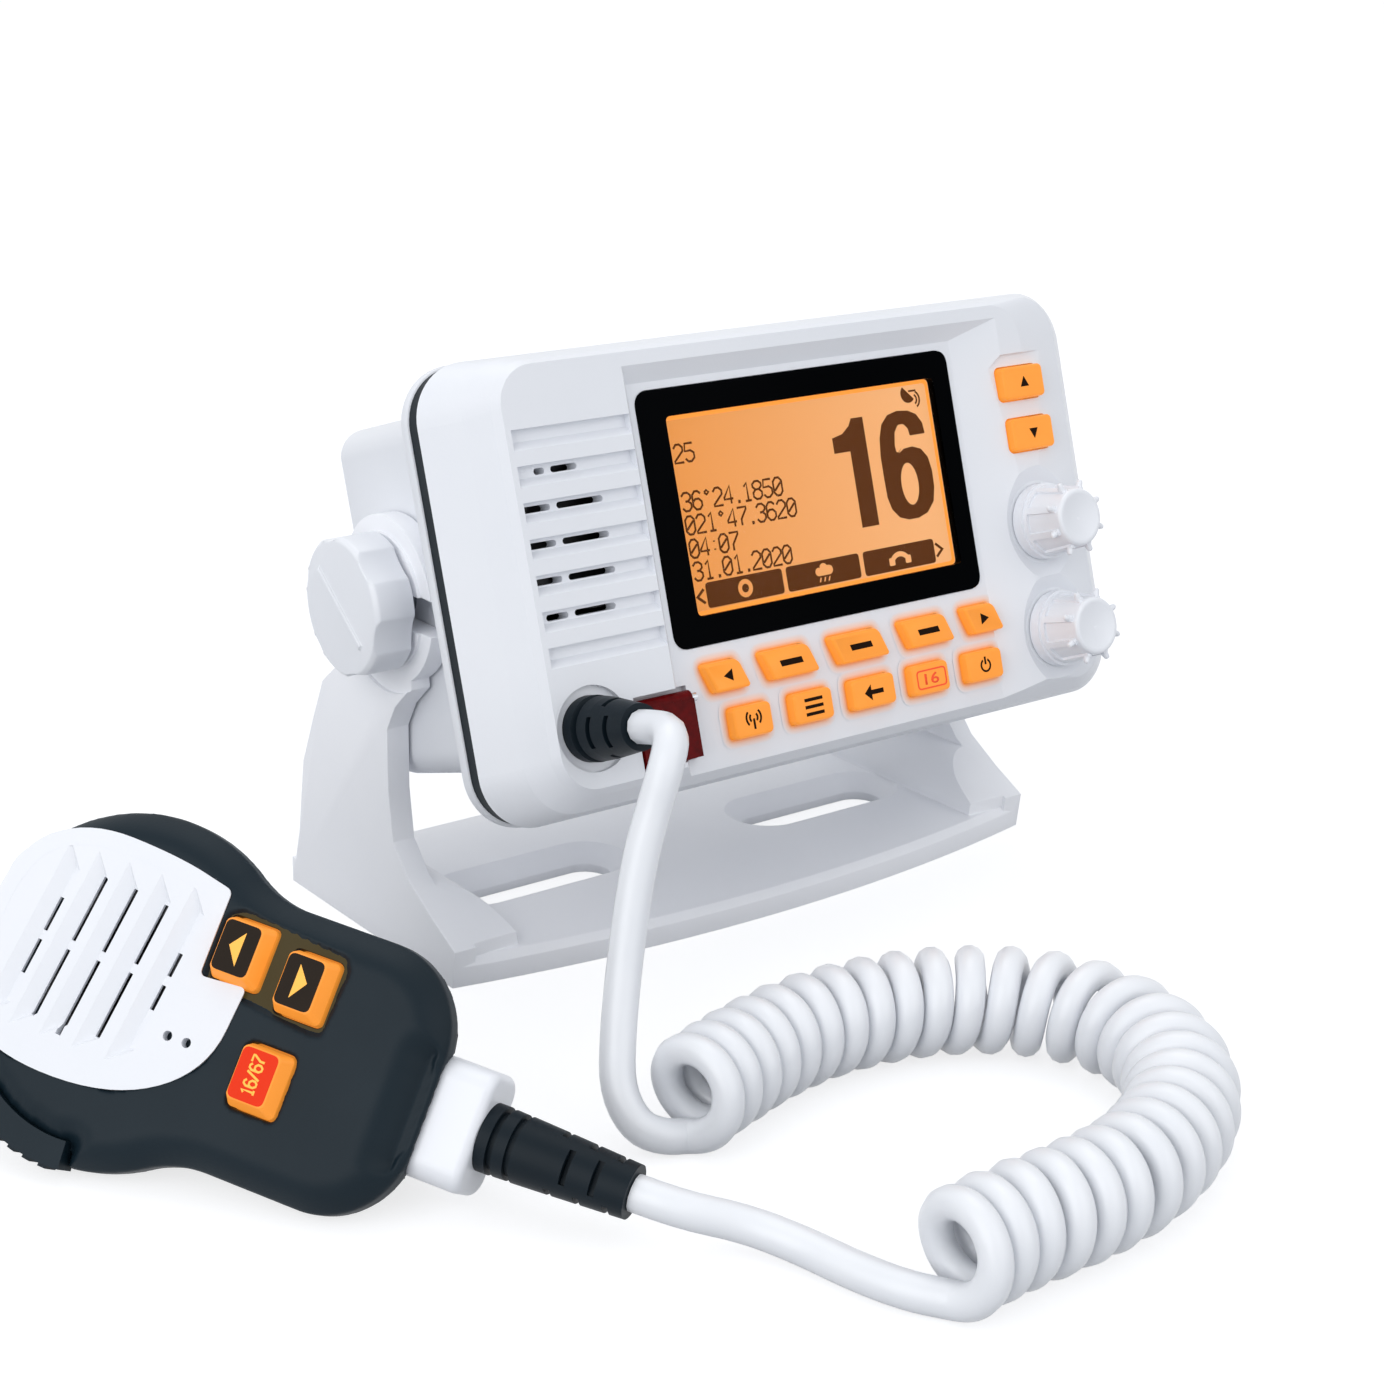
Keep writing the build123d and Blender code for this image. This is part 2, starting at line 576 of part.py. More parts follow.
def key_outline(x, y, width, height, lean=0.0, grow=0.0):
    """A rounded key; lean sweeps its top to the left and opens its top right corner."""
    left = x - width / 2 - grow
    right = x + width / 2 + grow
    low = y - height / 2 - grow
    high = y + height / 2 + grow
    points = [(left + lean, low), (right + lean, low), (right - lean, high), (left - lean, high)]
    face = make_face(Polyline(*points, close=True))
    if not lean:
        return fillet(face.vertices(), KEY_CORNER + grow)
    swept = face.vertices().sort_by(lambda v: v.X + v.Y)[-1]
    face = fillet(swept, KEY_SWEPT_CORNER + grow)
    others = face.vertices().filter_by(lambda v: v.Y < y or v.X < x)
    return fillet(others, KEY_CORNER / 2 + grow)


def key_places():
    """Every face key: name, middle, width, height, lean, and the surface it stands on."""
    places = []
    for name, (x, width) in ROW_ONE_KEYS.items():
        places.append((name, x, ROW_ONE_Y, width, ROW_ONE_HEIGHT, KEY_LEAN, BASIN_Z))
    for name, (x, width) in ROW_TWO_KEYS.items():
        places.append((name, x, ROW_TWO_Y, width, ROW_TWO_HEIGHT, 0.0, BASIN_Z))
    for name, (x, y) in CHANNEL_KEYS.items():
        places.append((name, x, y, CHANNEL_KEY_WIDTH, CHANNEL_KEY_HEIGHT, 0.0, FACE_Z - LEDGE_DEPTH))
    return places


def channel_ledge():
    """A shallow step round the channel keys, deep at its top and running out at its bottom."""
    low = LEDGE_OUTLINE[0][1]
    high = LEDGE_OUTLINE[2][1]
    side = Plane(origin=(LEDGE_OUTLINE[0][0], 0, 0), x_dir=(0, 1, 0), z_dir=(1, 0, 0))
    points = [(low, FACE_Z), (high, FACE_Z - LEDGE_DEPTH), (high, FACE_Z + CUT_PAST), (low, FACE_Z + CUT_PAST)]
    wedge = extrude(side * make_face(Polyline(*points, close=True)), LEDGE_OUTLINE[3][0] - LEDGE_OUTLINE[0][0])
    outline = make_face(Polyline(*LEDGE_OUTLINE, close=True))
    return wedge & prism(outline, FACE_Z - LEDGE_DEPTH - CUT_PAST, FACE_Z + CUT_PAST)


def louvre_cutter(index):
    """One louvre: a wedge, deep at its top edge and running out at its bottom edge."""
    top = LOUVRE_TOP - index * LOUVRE_PITCH
    side = Plane(origin=(LOUVRE_LEFT, 0, 0), x_dir=(0, 1, 0), z_dir=(1, 0, 0))
    points = [
        (top, FACE_Z + CUT_PAST),
        (top, FACE_Z - LOUVRE_DEPTH),
        (top - LOUVRE_FLAT, FACE_Z - LOUVRE_DEPTH),
        (top - LOUVRE_HEIGHT, FACE_Z),
        (top - LOUVRE_HEIGHT, FACE_Z + CUT_PAST),
    ]
    return extrude(side * make_face(Polyline(*points, close=True)), LOUVRE_RIGHT - LOUVRE_LEFT)


def sound_slots():
    """The open slots under louvres two to six."""
    cutters = []
    for index, left, right in SOUND_SLOT_SPANS:
        y = LOUVRE_TOP - index * LOUVRE_PITCH - SOUND_SLOT_DROP
        slot = Pos((left + right) / 2, y) * SlotOverall(right - left, SOUND_SLOT_HEIGHT)
        cutters.append(prism(slot, INNER_Z - CUT_PAST, FACE_Z))
    return cutters


def inner_cavity(low, high):
    left = HOUSING_WALL - HOUSING_HALF_WIDTH
    sketch = case_section(0, left, -left, HOUSING_BOTTOM + 1.5, HOUSING_TOP - 2.5, CAVITY_CORNER)
    return prism(sketch, low, high)


def front_cavity():
    half = FRONT_CAVITY_HALF_WIDTH
    sketch = case_section(0, -half, half, FRONT_CAVITY_BOTTOM, FRONT_CAVITY_TOP, CAVITY_CORNER)
    return prism(sketch, CASE_BACK_Z - CUT_PAST, INNER_Z)


def bar_along_x(radius, half_length, x, y, z):
    return Pos(x, y, z) * Rot(0, 90, 0) * Cylinder(radius, 2 * half_length)


def screw_places():
    return [(side * SCREW_X, y) for side in (-1, 1) for y in SCREW_ROWS]


def knob_dish(y):
    bottom = Pos(KNOB_X, y, FACE_Z - KNOB_DISH_DEPTH) * Circle(KNOB_SKIRT_RADIUS + 0.8)
    rim = Pos(KNOB_X, y, FACE_Z + 0.01) * Circle(KNOB_DISH_RADIUS)
    bore = disc(BUSH_RADIUS + 0.15, INNER_Z - CUT_PAST, FACE_Z, KNOB_X, y)
    return loft([bottom, rim]) + bore


def window_opening():
    seat = rounded(WINDOW_WIDTH + 0.3, WINDOW_HEIGHT + 0.3, WINDOW_CORNER, WINDOW_X, WINDOW_Y)
    hole_width = WINDOW_WIDTH - 2 * WINDOW_LEDGE
    hole_height = WINDOW_HEIGHT - 2 * WINDOW_LEDGE
    hole = rounded(hole_width, hole_height, 1.5, WINDOW_X, WINDOW_Y)
    return prism(seat, WINDOW_SEAT_Z, FACE_Z) + prism(hole, INNER_Z - CUT_PAST, FACE_Z)


def distress_opening():
    """The lid's recess, its pin's bore and the button's hole through the wall."""
    left = DISTRESS_X - RECESS_HALF_WIDTH
    right = DISTRESS_X + RECESS_HALF_WIDTH
    space = block(left, right, RECESS_BOTTOM, RECESS_TOP, RECESS_Z, FACE_Z + CUT_PAST)
    space += bar_along_x(DISTRESS_PIN_RADIUS, PIN_HALF_LENGTH, DISTRESS_X, PIN_Y, PIN_Z)
    width = BUTTON_SIZE + 2 * KEY_CLEARANCE
    hole = rounded(width, width, 1.5, DISTRESS_X, DISTRESS_Y - BUTTON_DROP)
    return space + prism(hole, INNER_Z - CUT_PAST, FACE_Z)


def front_case():
    body = case_shell() - display_basin() - front_cavity() - window_opening() - distress_opening()
    body -= channel_ledge()
    for _, x, y, width, height, lean, _ in key_places():
        hole = key_outline(x, y, width, height, lean, KEY_CLEARANCE)
        body -= prism(hole, INNER_Z - CUT_PAST, FACE_Z + CUT_PAST)
    for y in KNOB_PLACES.values():
        body -= knob_dish(y)
    for index in range(LOUVRE_COUNT):
        body -= louvre_cutter(index)
    for slot in sound_slots():
        body -= slot
    body -= disc(GLAND_DISH_RADIUS, GLAND_WALL_Z, FACE_Z + 3, GLAND_X, GLAND_Y)
    body -= disc(GLAND_RADIUS - 1.0, INNER_Z - CUT_PAST, FACE_Z, GLAND_X, GLAND_Y)
    for x, y in screw_places():
        body -= disc(SCREW_RADIUS, CASE_BACK_Z - CUT_PAST, SCREW_TIP_Z + SEAT_GAP, x, y)
    return body


def case_gasket():
    outline = rounded(CASE_WIDTH - 2 * GASKET_INSET, CASE_HEIGHT - 2 * GASKET_INSET,
                      CASE_CORNER - GASKET_INSET, 0, CASE_MIDDLE_Y)
    ring = prism(outline, GASKET_BACK_Z, CASE_BACK_Z)
    ring -= inner_cavity(GASKET_BACK_Z - CUT_PAST, CASE_BACK_Z + CUT_PAST)
    for x, y in screw_places():
        ring -= disc(SCREW_RADIUS, GASKET_BACK_Z - CUT_PAST, CASE_BACK_Z + CUT_PAST, x, y)
    return ring


def rear_housing():
    middle = (HOUSING_TOP + HOUSING_BOTTOM) / 2
    shell = rounded(2 * HOUSING_HALF_WIDTH, HOUSING_TOP - HOUSING_BOTTOM, HOUSING_CORNER, 0, middle)
    body = prism(shell, HOUSING_BACK_Z, GASKET_BACK_Z)
    back_edges = body.faces().sort_by(Axis.Z)[0].edges()
    body = fillet(back_edges, HOUSING_BACK_ROUND)
    flange_outline = rounded(CASE_WIDTH, CASE_HEIGHT, CASE_CORNER, 0, CASE_MIDDLE_Y)
    flange = prism(flange_outline, FLANGE_BACK_Z, GASKET_BACK_Z)
    body += chamfer(flange.faces().sort_by(Axis.Z)[0].edges(), FLANGE_BEVEL)
    body += bar_along_x(PIVOT_BOSS_RADIUS, BOSS_END_X, 0, 0, 0)
    body -= inner_cavity(HOUSING_BACK_Z + HOUSING_WALL, GASKET_BACK_Z + CUT_PAST)
    insert_length = STUD_REACH + 2
    for side in (-1, 1):
        insert_x = side * (BOSS_END_X - insert_length / 2)
        body += bar_along_x(STUD_RADIUS + STUD_INSERT_WALL, insert_length / 2, insert_x, 0, 0)
        body -= bar_along_x(STUD_RADIUS + RUNNING_FIT, STUD_REACH, side * BOSS_END_X, 0, 0)
    for x, y in POST_PLACES:
        body += disc(POST_RADIUS, HOUSING_BACK_Z + HOUSING_WALL - 1, MAIN_BOARD_Z, x, y)
    for x, y in screw_places():
        body -= disc(SCREW_RADIUS, FLANGE_BACK_Z - CUT_PAST, GASKET_BACK_Z + CUT_PAST, x, y)
    return body


def case_screw(x, y):
    head_z = FLANGE_BACK_Z - SCREW_HEAD_HEIGHT
    shank = disc(SCREW_RADIUS, FLANGE_BACK_Z, SCREW_TIP_Z, x, y)
    head = disc(SCREW_HEAD_RADIUS, head_z, FLANGE_BACK_Z, x, y)
    long = SCREW_CROSS_HALF
    short = SCREW_CROSS_WIDTH / 2
    cross = block(x - long, x + long, y - short, y + short, head_z - CUT_PAST, head_z + SCREW_CROSS_DEPTH)
    cross += block(x - short, x + short, y - long, y + long, head_z - CUT_PAST, head_z + SCREW_CROSS_DEPTH)
    return shank + head - cross


def heat_sink():
    half = HEATSINK_HALF_WIDTH
    plate_z = HOUSING_BACK_Z - HEATSINK_BASE
    body = block(-half, half, HEATSINK_BOTTOM, HEATSINK_TOP, plate_z, HOUSING_BACK_Z)
    pitch = (2 * half - FIN_THICKNESS) / (FIN_COUNT - 1)
    for index in range(FIN_COUNT):
        x = index * pitch - half
        fin = block(x, x + FIN_THICKNESS, HEATSINK_BOTTOM, HEATSINK_TOP, plate_z - FIN_DEPTH, plate_z + 0.5)
        body += fin
    return body


def antenna_socket():
    """A panel socket: square flange with a threaded barrel and an open bore."""
    z = HOUSING_BACK_Z
    tip = z - ANTENNA_LENGTH
    flange_z = z - 2.0
    body = prism(rounded(ANTENNA_FLANGE, ANTENNA_FLANGE, 3.0, SOCKET_X, ANTENNA_Y), flange_z, z)
    body += disc(ANTENNA_RADIUS, tip, flange_z, SOCKET_X, ANTENNA_Y)
    core = disc(ANTENNA_RADIUS - THREAD_DEPTH, tip, flange_z, SOCKET_X, ANTENNA_Y)
    for ring in range(THREAD_RINGS):
        low = tip + 0.8 + ring * THREAD_PITCH
        body -= disc(ANTENNA_RADIUS + 1, low, low + THREAD_PITCH / 2, SOCKET_X, ANTENNA_Y) - core
    body -= disc(ANTENNA_BORE, tip - CUT_PAST, z - SOCKET_FLOOR - 1, SOCKET_X, ANTENNA_Y)
    return body + disc(ANTENNA_CONTACT_RADIUS, tip + 4, z - SOCKET_FLOOR, SOCKET_X, ANTENNA_Y)


def power_grommet():
    z = HOUSING_BACK_Z
    body = disc(POWER_FLANGE_RADIUS, z - 2.5, z, SOCKET_X, POWER_Y)
    body += disc(POWER_RADIUS, z - POWER_LENGTH, z - 2.0, SOCKET_X, POWER_Y)
    return body - disc(POWER_BORE, z - POWER_LENGTH - CUT_PAST, z - SOCKET_FLOOR, SOCKET_X, POWER_Y)


def accessory_socket():
    z = HOUSING_BACK_Z
    x = -SOCKET_X
    body = disc(ACCESSORY_FLANGE_RADIUS, z - 2.0, z, x, ACCESSORY_Y)
    body += disc(ACCESSORY_RADIUS, z - ACCESSORY_LENGTH, z - 1.5, x, ACCESSORY_Y)
    body -= disc(ACCESSORY_BORE, z - ACCESSORY_LENGTH - CUT_PAST, z - SOCKET_FLOOR, x, ACCESSORY_Y)
    for pin in range(ACCESSORY_PINS):
        angle = radians(360 * pin / ACCESSORY_PINS)
        pin_x = x + ACCESSORY_PIN_CIRCLE * cos(angle)
        pin_y = ACCESSORY_Y + ACCESSORY_PIN_CIRCLE * sin(angle)
        body += disc(ACCESSORY_PIN_RADIUS, z - ACCESSORY_LENGTH + 2, z - 2.5, pin_x, pin_y)
    return body


# ---------------------------------------------------------------- inside the radio
def keypad_board():
    top = BOARD_FRONT_Z
    low = FRONT_CAVITY_BOTTOM + BOARD_MARGIN
    body = block(BOARD_LEFT, BOARD_RIGHT, low, FRONT_CAVITY_TOP - BOARD_MARGIN, top - BOARD_THICKNESS, top)
    body += block(BOARD_TAB_LEFT, BOARD_LEFT + 1, low, BOARD_TAB_TOP, top - BOARD_THICKNESS, top)
    return body


def display_window():
    outline = rounded(WINDOW_WIDTH, WINDOW_HEIGHT, WINDOW_CORNER - 0.15, WINDOW_X, WINDOW_Y)
    body = prism(outline, WINDOW_SEAT_Z, BASIN_Z + SEAT_GAP)
    return chamfer(body.faces().sort_by(Axis.Z)[-1].edges(), 0.4)


def lcd_panel():
    left = WINDOW_X - LCD_WIDTH / 2
    low = WINDOW_Y - LCD_HEIGHT / 2
    high_z = WINDOW_SEAT_Z - SHELL_CLEARANCE
    return block(left, left + LCD_WIDTH, low, low + LCD_HEIGHT, BOARD_FRONT_Z, high_z)


def main_board():
    half = MAIN_BOARD_HALF_WIDTH
    return block(-half, half, MAIN_BOARD_LOW, MAIN_BOARD_TOP, MAIN_BOARD_Z, MAIN_BOARD_Z + BOARD_THICKNESS)


def speaker():
    high = INNER_Z - SHELL_CLEARANCE
    low = high - SPEAKER_DEPTH
    rim_z = high - SPEAKER_RIM
    magnet_z = low + MAGNET_DEPTH
    rim = disc(SPEAKER_RADIUS, rim_z, high, SPEAKER_X, SPEAKER_Y)
    wide = Pos(SPEAKER_X, SPEAKER_Y, rim_z) * Circle(SPEAKER_RADIUS - 1)
    narrow = Pos(SPEAKER_X, SPEAKER_Y, magnet_z) * Circle(MAGNET_RADIUS)
    basket = loft([wide, narrow])
    magnet = disc(MAGNET_RADIUS, low, magnet_z, SPEAKER_X, SPEAKER_Y)
    cone_rim = Pos(SPEAKER_X, SPEAKER_Y, high + 0.1) * Circle(SPEAKER_RADIUS - 2)
    cone_floor = Pos(SPEAKER_X, SPEAKER_Y, high - 4) * Circle(6.0)
    return rim + basket + magnet - loft([cone_rim, cone_floor])


def encoder(y):
    """Rotary control behind the face: body on the board, bush through the wall, shaft in the knob."""
    half = ENCODER_SIZE / 2
    high = INNER_Z - SHELL_CLEARANCE
    body = block(KNOB_X - half, KNOB_X + half, y - half, y + half, BOARD_FRONT_Z, high)
    body += disc(BUSH_RADIUS, high - 1, BUSH_END_Z, KNOB_X, y)
    body += disc(SHAFT_RADIUS, FACE_Z, SHAFT_END_Z, KNOB_X, y)
    return body


# ---------------------------------------------------------------- moving pieces on the face
def key_cap(x, y, width, height, lean, surface_z):
    outline = key_outline(x, y, width, height, lean)
    cap = prism(outline, KEY_FOOT_Z, surface_z + KEY_PROUD)
    cap = fillet(cap.faces().sort_by(Axis.Z)[-1].edges(), KEY_ROUND)
    return cap + prism(key_outline(x, y, width, height, lean, KEY_FLANGE), KEY_FOOT_Z, KEY_FLANGE_Z)


def control_knob(y):
    low = FACE_Z - KNOB_DISH_DEPTH + SEAT_GAP
    high = low + KNOB_LENGTH
    skirt_top = low + KNOB_SKIRT_HEIGHT
    body = disc(KNOB_SKIRT_RADIUS, low, skirt_top)
    foot = Pos(0, 0, skirt_top) * Circle(KNOB_BASE_RADIUS)
    crown = Pos(0, 0, high) * Circle(KNOB_CROWN_RADIUS)
    body += loft([foot, crown])
    body = fillet(body.faces().sort_by(Axis.Z)[-1].edges(), KNOB_TOP_ROUND)
    wide = Pos(0, 0, skirt_top) * Circle(KNOB_BASE_RADIUS + KNOB_RIB_OUT)
    narrow = Pos(0, 0, high - 1.2) * Circle(KNOB_CROWN_RADIUS + KNOB_RIB_OUT)
    rib_cone = loft([wide, narrow])
    rib_half = KNOB_RIB_WIDTH / 2
    rib = block(0, KNOB_SKIRT_RADIUS, -rib_half, rib_half, skirt_top, high)
    ring = disc(KNOB_SKIRT_RADIUS, skirt_top, skirt_top + KNOB_FOOT_RING)
    body += ring & rib_cone
    pip_reach = KNOB_CROWN_RADIUS - 0.4 + KNOB_PIP_LENGTH
    pip = bar_along_x(KNOB_PIP_RADIUS, KNOB_PIP_LENGTH, pip_reach - KNOB_PIP_LENGTH, 0, high - 1.8)
    for index in range(KNOB_RIBS):
        body += Rot(0, 0, 360 * (index + 0.5) / KNOB_RIBS) * ((rib & rib_cone) + pip)
    body -= Pos(0, 0, high + KNOB_CUP_RADIUS - KNOB_CUP_DEPTH) * Sphere(KNOB_CUP_RADIUS)
    body -= disc(SHAFT_RADIUS + RUNNING_FIT, low, SHAFT_END_Z + SEAT_GAP)
    body -= disc(BUSH_RADIUS + SEAT_GAP, low - CUT_PAST, BUSH_END_Z + SEAT_GAP)
    return Pos(KNOB_X, y, 0) * body


def boot_slot(z, turn):
    """One of the open slots that let a rubber boot flex."""
    half = BOOT_SLOT_WIDTH / 2
    cutter = block(BOOT_SLOT_FLOOR, GLAND_RADIUS + 2, -BOOT_SLOT_HALF, BOOT_SLOT_HALF, z - half, z + half)
    return Rot(0, 0, turn) * cutter


def turned(profile):
    """A closed (radius, height) outline turned round Z."""
    side = Plane(origin=(0, 0, 0), x_dir=(1, 0, 0), z_dir=(0, -1, 0))
    return revolve(side * make_face(profile), Axis.Z)


def gland_boot():
    """Rubber boot of the microphone lead, clamped behind the wall, with one full groove."""
    wall_out = GLAND_WALL_Z
    flange = GLAND_RADIUS + 0.8
    profile = Polyline(
        (0, INNER_Z - GLAND_FLANGE),
        (flange, INNER_Z - GLAND_FLANGE),
        (flange, INNER_Z - 0.1),
        (GLAND_NECK, INNER_Z - 0.1),
        (GLAND_NECK, wall_out + 0.1),
        (GLAND_RADIUS, wall_out + 0.1),
        (GLAND_RADIUS, wall_out + 3.0),
        (GLAND_NECK, wall_out + 3.3),
        (GLAND_NECK, wall_out + 4.5),
        (GLAND_RADIUS - 0.2, wall_out + 4.8),
        (GLAND_RADIUS - 0.5, wall_out + 8.0),
        (GLAND_END_RADIUS, GLAND_END_Z),
        (0, GLAND_END_Z),
        close=True,
    )
    body = turned(profile)
    for height, turn in GLAND_SLOTS:
        body -= boot_slot(wall_out + height, turn)
    return Pos(GLAND_X, GLAND_Y, 0) * body


def gland_nut():
    high = INNER_Z - GLAND_FLANGE - 0.1
    low = high - 2.4
    body = disc(GLAND_RADIUS + 0.8, low, high, GLAND_X, GLAND_Y)
    return body - disc(GLAND_NUT_BORE, low - CUT_PAST, high + CUT_PAST, GLAND_X, GLAND_Y)


def distress_cover():
    """Clear lid with skirts, hung on its pin along the top edge."""
    left = DISTRESS_X - COVER_HALF_WIDTH
    right = DISTRESS_X + COVER_HALF_WIDTH
    low = PIN_Y - COVER_LENGTH
    high_z = FACE_Z + COVER_PROUD
    plate = block(left, right, low, PIN_Y, high_z - COVER_WALL, high_z)
    for x in (left, right - COVER_SIDE_WALL):
        plate += block(x, x + COVER_SIDE_WALL, low, PIN_Y - 2.0, high_z - COVER_SKIRT, high_z - 0.2)
    plate += bar_along_x(COVER_KNUCKLE, COVER_HALF_WIDTH, DISTRESS_X, PIN_Y, PIN_Z)
    plate += block(left, right, PIN_Y - COVER_KNUCKLE, PIN_Y, PIN_Z, high_z)
    bore = DISTRESS_PIN_RADIUS + RUNNING_FIT
    return plate - bar_along_x(bore, COVER_HALF_WIDTH + CUT_PAST, DISTRESS_X, PIN_Y, PIN_Z)


def distress_button():
    y = DISTRESS_Y - BUTTON_DROP
    flange = BUTTON_SIZE + 2 * KEY_FLANGE
    body = prism(rounded(BUTTON_SIZE, BUTTON_SIZE, KEY_CORNER, DISTRESS_X, y), KEY_FOOT_Z, FACE_Z - BUTTON_SINK)
    return body + prism(rounded(flange, flange, KEY_CORNER, DISTRESS_X, y), KEY_FOOT_Z, KEY_FLANGE_Z)


# ---------------------------------------------------------------- clamp knobs
def clamp_knob():
    """Lobed hand knob on the +X side, turned about the tilt axis."""
    knob = disc(CLAMP_RADIUS, CLAMP_DISC_LOW, CLAMP_DISC_HIGH)
    knob = chamfer(knob.faces().sort_by(Axis.Z)[-1].edges(), CLAMP_BEVEL)
    reach = CLAMP_RADIUS + CLAMP_SCALLOP_RADIUS - CLAMP_SCALLOP_DEPTH
    scallop = disc(CLAMP_SCALLOP_RADIUS, CLAMP_DISC_LOW - CUT_PAST, CLAMP_DISC_HIGH + CUT_PAST, reach, 0)
    for index in range(CLAMP_LOBES):
        knob -= Rot(0, 0, 360 * index / CLAMP_LOBES) * scallop
    half = CLAMP_RIDGE_WIDTH / 2
    ridge = block(-CLAMP_RIDGE_HALF, CLAMP_RIDGE_HALF, -half, half,
                  CLAMP_DISC_HIGH - 0.5, CLAMP_DISC_HIGH + CLAMP_RIDGE_PROUD)
    hub = disc(CLAMP_HUB_RADIUS, CLAMP_LOW, CLAMP_DISC_LOW)
    body = hub + knob + Rot(0, 0, CLAMP_RIDGE_TURN) * ridge
    return body - disc(STUD_RADIUS, CLAMP_LOW - CUT_PAST, CLAMP_DISC_HIGH - STUD_SINK)


def clamp_stud():
    low = BOSS_END_X - STUD_REACH + SEAT_GAP
    body = disc(STUD_RADIUS, low, CLAMP_DISC_HIGH - STUD_SINK)
    return chamfer(body.faces().sort_by(Axis.Z)[0].edges(), 0.6)


def on_right(shape):
    """From the clamp's own axis (Z) to the tilt axis on the +X side."""
    return Rot(0, 90, 0) * shape


def on_left(shape):
    return Rot(0, -90, 0) * shape


# ---------------------------------------------------------------- cord
def cord_path(points):
    """Straight runs joined by arcs as large as the runs allow; prints the radii."""
    radii = []
    for before, here, after in zip(points, points[1:], points[2:]):
        run_in = Vector(*here) - Vector(*before)
        run_out = Vector(*after) - Vector(*here)
        turn = radians(run_in.get_angle(run_out))
        radii.append(RUN_SHARE * min(run_in.length, run_out.length) / tan(turn / 2))
    print("cord radii", [round(radius, 1) for radius in radii])
    return FilletPolyline(*points, radius=radii)


def cord_tube(points, diameter):
    path = cord_path(points)
    section = Plane(origin=path @ 0, z_dir=path % 0) * Circle(diameter / 2)
    tube = sweep(section, path=path)
    print("cord length", round(path.length, 1), "volume ratio",
          round(tube.volume / (section.area * path.length), 4))
    return tube


def in_row(frame, x, y, z):
    """A point of the radio's or microphone's frame as row coordinates."""
    place = (frame * Pos(x, y, z)).position
    return (place.X, place.Y, place.Z)


def drop_points():
    ends = (GLAND_END_Z + SEAT_GAP, GLAND_END_Z + DROP_EXIT_RUN)
    return [in_row(RADIO, GLAND_X, GLAND_Y, z) for z in ends] + list(DROP_ROUTE)


def tail_points():
    boot_end = BLOCK_FRONT_Y - RELIEF_LENGTH
    ends = (boot_end, boot_end - TAIL_EXIT_RUN)
    return [in_row(MIC, BLOCK_X, y, BLOCK_Z) for y in ends] + list(TAIL_ROUTE)


def cord_drop():
    return cord_tube(drop_points(), CORD_DIAMETER)


def cord_coil():
    return cord_tube([(x, y, COIL_Z) for x, y in COIL_ROUTE], COIL_DIAMETER)


def cord_tail():
    return cord_tube(tail_points(), CORD_DIAMETER)


# ---------------------------------------------------------------- microphone
def mic_outline(shrink=0.0):
    """Round head on a narrower tail, joined by waists; shrink steps it inwards."""
    tail_top = MIC_NECK_Y + 8
    tail = rounded(2 * (MIC_END_HALF_WIDTH - shrink), tail_top - shrink, MIC_END_CORNER - shrink,
                   0, (tail_top + shrink) / 2)
    head = Pos(0, MIC_HEAD_Y) * Circle(MIC_HEAD_RADIUS - shrink)
    outline = tail + head
    waist = outline.vertices().filter_by(lambda v: 30 < v.Y < MIC_NECK_Y and abs(v.X) > 10)
    return fillet(waist, MIC_WAIST_RADIUS + shrink)


def panel_outline(shrink=0.0):
    """White speaker panel: a rounded shield with a notch beside the left key."""
    face = make_face(Polyline(*PANEL_SHIELD, close=True))
    notch = face.vertices().filter_by(lambda v: v.X > 5 and v.Y < 50)
    face = fillet(notch, PANEL_NOTCH_CORNER)
    face = fillet(face.vertices().filter_by(lambda v: v.X < 0 or v.Y > 50), PANEL_CORNER)
    if shrink:
        face = offset(face, -shrink)
    return face


def mic_front_shell():
    crown_depth = MIC_FRONT_DEPTH - MIC_RIM
    body = prism(mic_outline(), -MIC_FRONT_DEPTH, -crown_depth)
    face_outline = mic_outline(crown_depth * tan(radians(MIC_FRONT_DRAFT)))
    body += loft([Pos(0, 0, -crown_depth) * mic_outline(), face_outline], ruled=True)
    body = fillet(body.faces().sort_by(Axis.Z)[-1].edges(), MIC_FACE_ROUND)
    hollow = mic_outline(MIC_WALL + 2.0)
    body -= prism(hollow, -MIC_FRONT_DEPTH - CUT_PAST, -PANEL_THICKNESS - MIC_WALL)
    body -= prism(panel_outline(), -PANEL_THICKNESS, CUT_PAST)
    body -= disc(MIC_SPEAKER_RADIUS + 0.5, -MIC_FRONT_DEPTH, 0, MIC_FACE_OFFSET, MIC_SPEAKER_Y)
    channel = make_face(Polyline(*KEY_CHANNEL, close=True))
    body -= prism(fillet(channel.vertices(), KEY_CORNER), -KEY_CHANNEL_DEPTH, CUT_PAST)
    hole_width = MIC_KEY_ACROSS + 2 * KEY_CLEARANCE
    hole_height = MIC_KEY_ALONG + 2 * KEY_CLEARANCE
    for x, y in MIC_KEYS.values():
        body -= prism(rounded(hole_width, hole_height, KEY_CORNER + 0.3, x, y), -MIC_FRONT_DEPTH, CUT_PAST)
    return body - talk_bar_space() - cord_block()


def ring_sector(inner, outer, start, stop, low, high):
    """Part of a ring round the head's middle; angles from -X towards the top."""
    ring = disc(outer, low, high) - disc(inner, low - CUT_PAST, high + CUT_PAST)
    reach = outer + 10
    middle = (start + stop) / 2
    half = radians((stop - start) / 2)
    side_x = -reach * cos(half)
    side_y = reach * sin(half)
    wedge = make_face(Polyline((0, 0), (side_x, side_y), (-1.5 * reach, 0), (side_x, -side_y), close=True))
    return Pos(0, MIC_HEAD_Y) * Rot(0, 0, -middle) * (ring & prism(wedge, low, high))


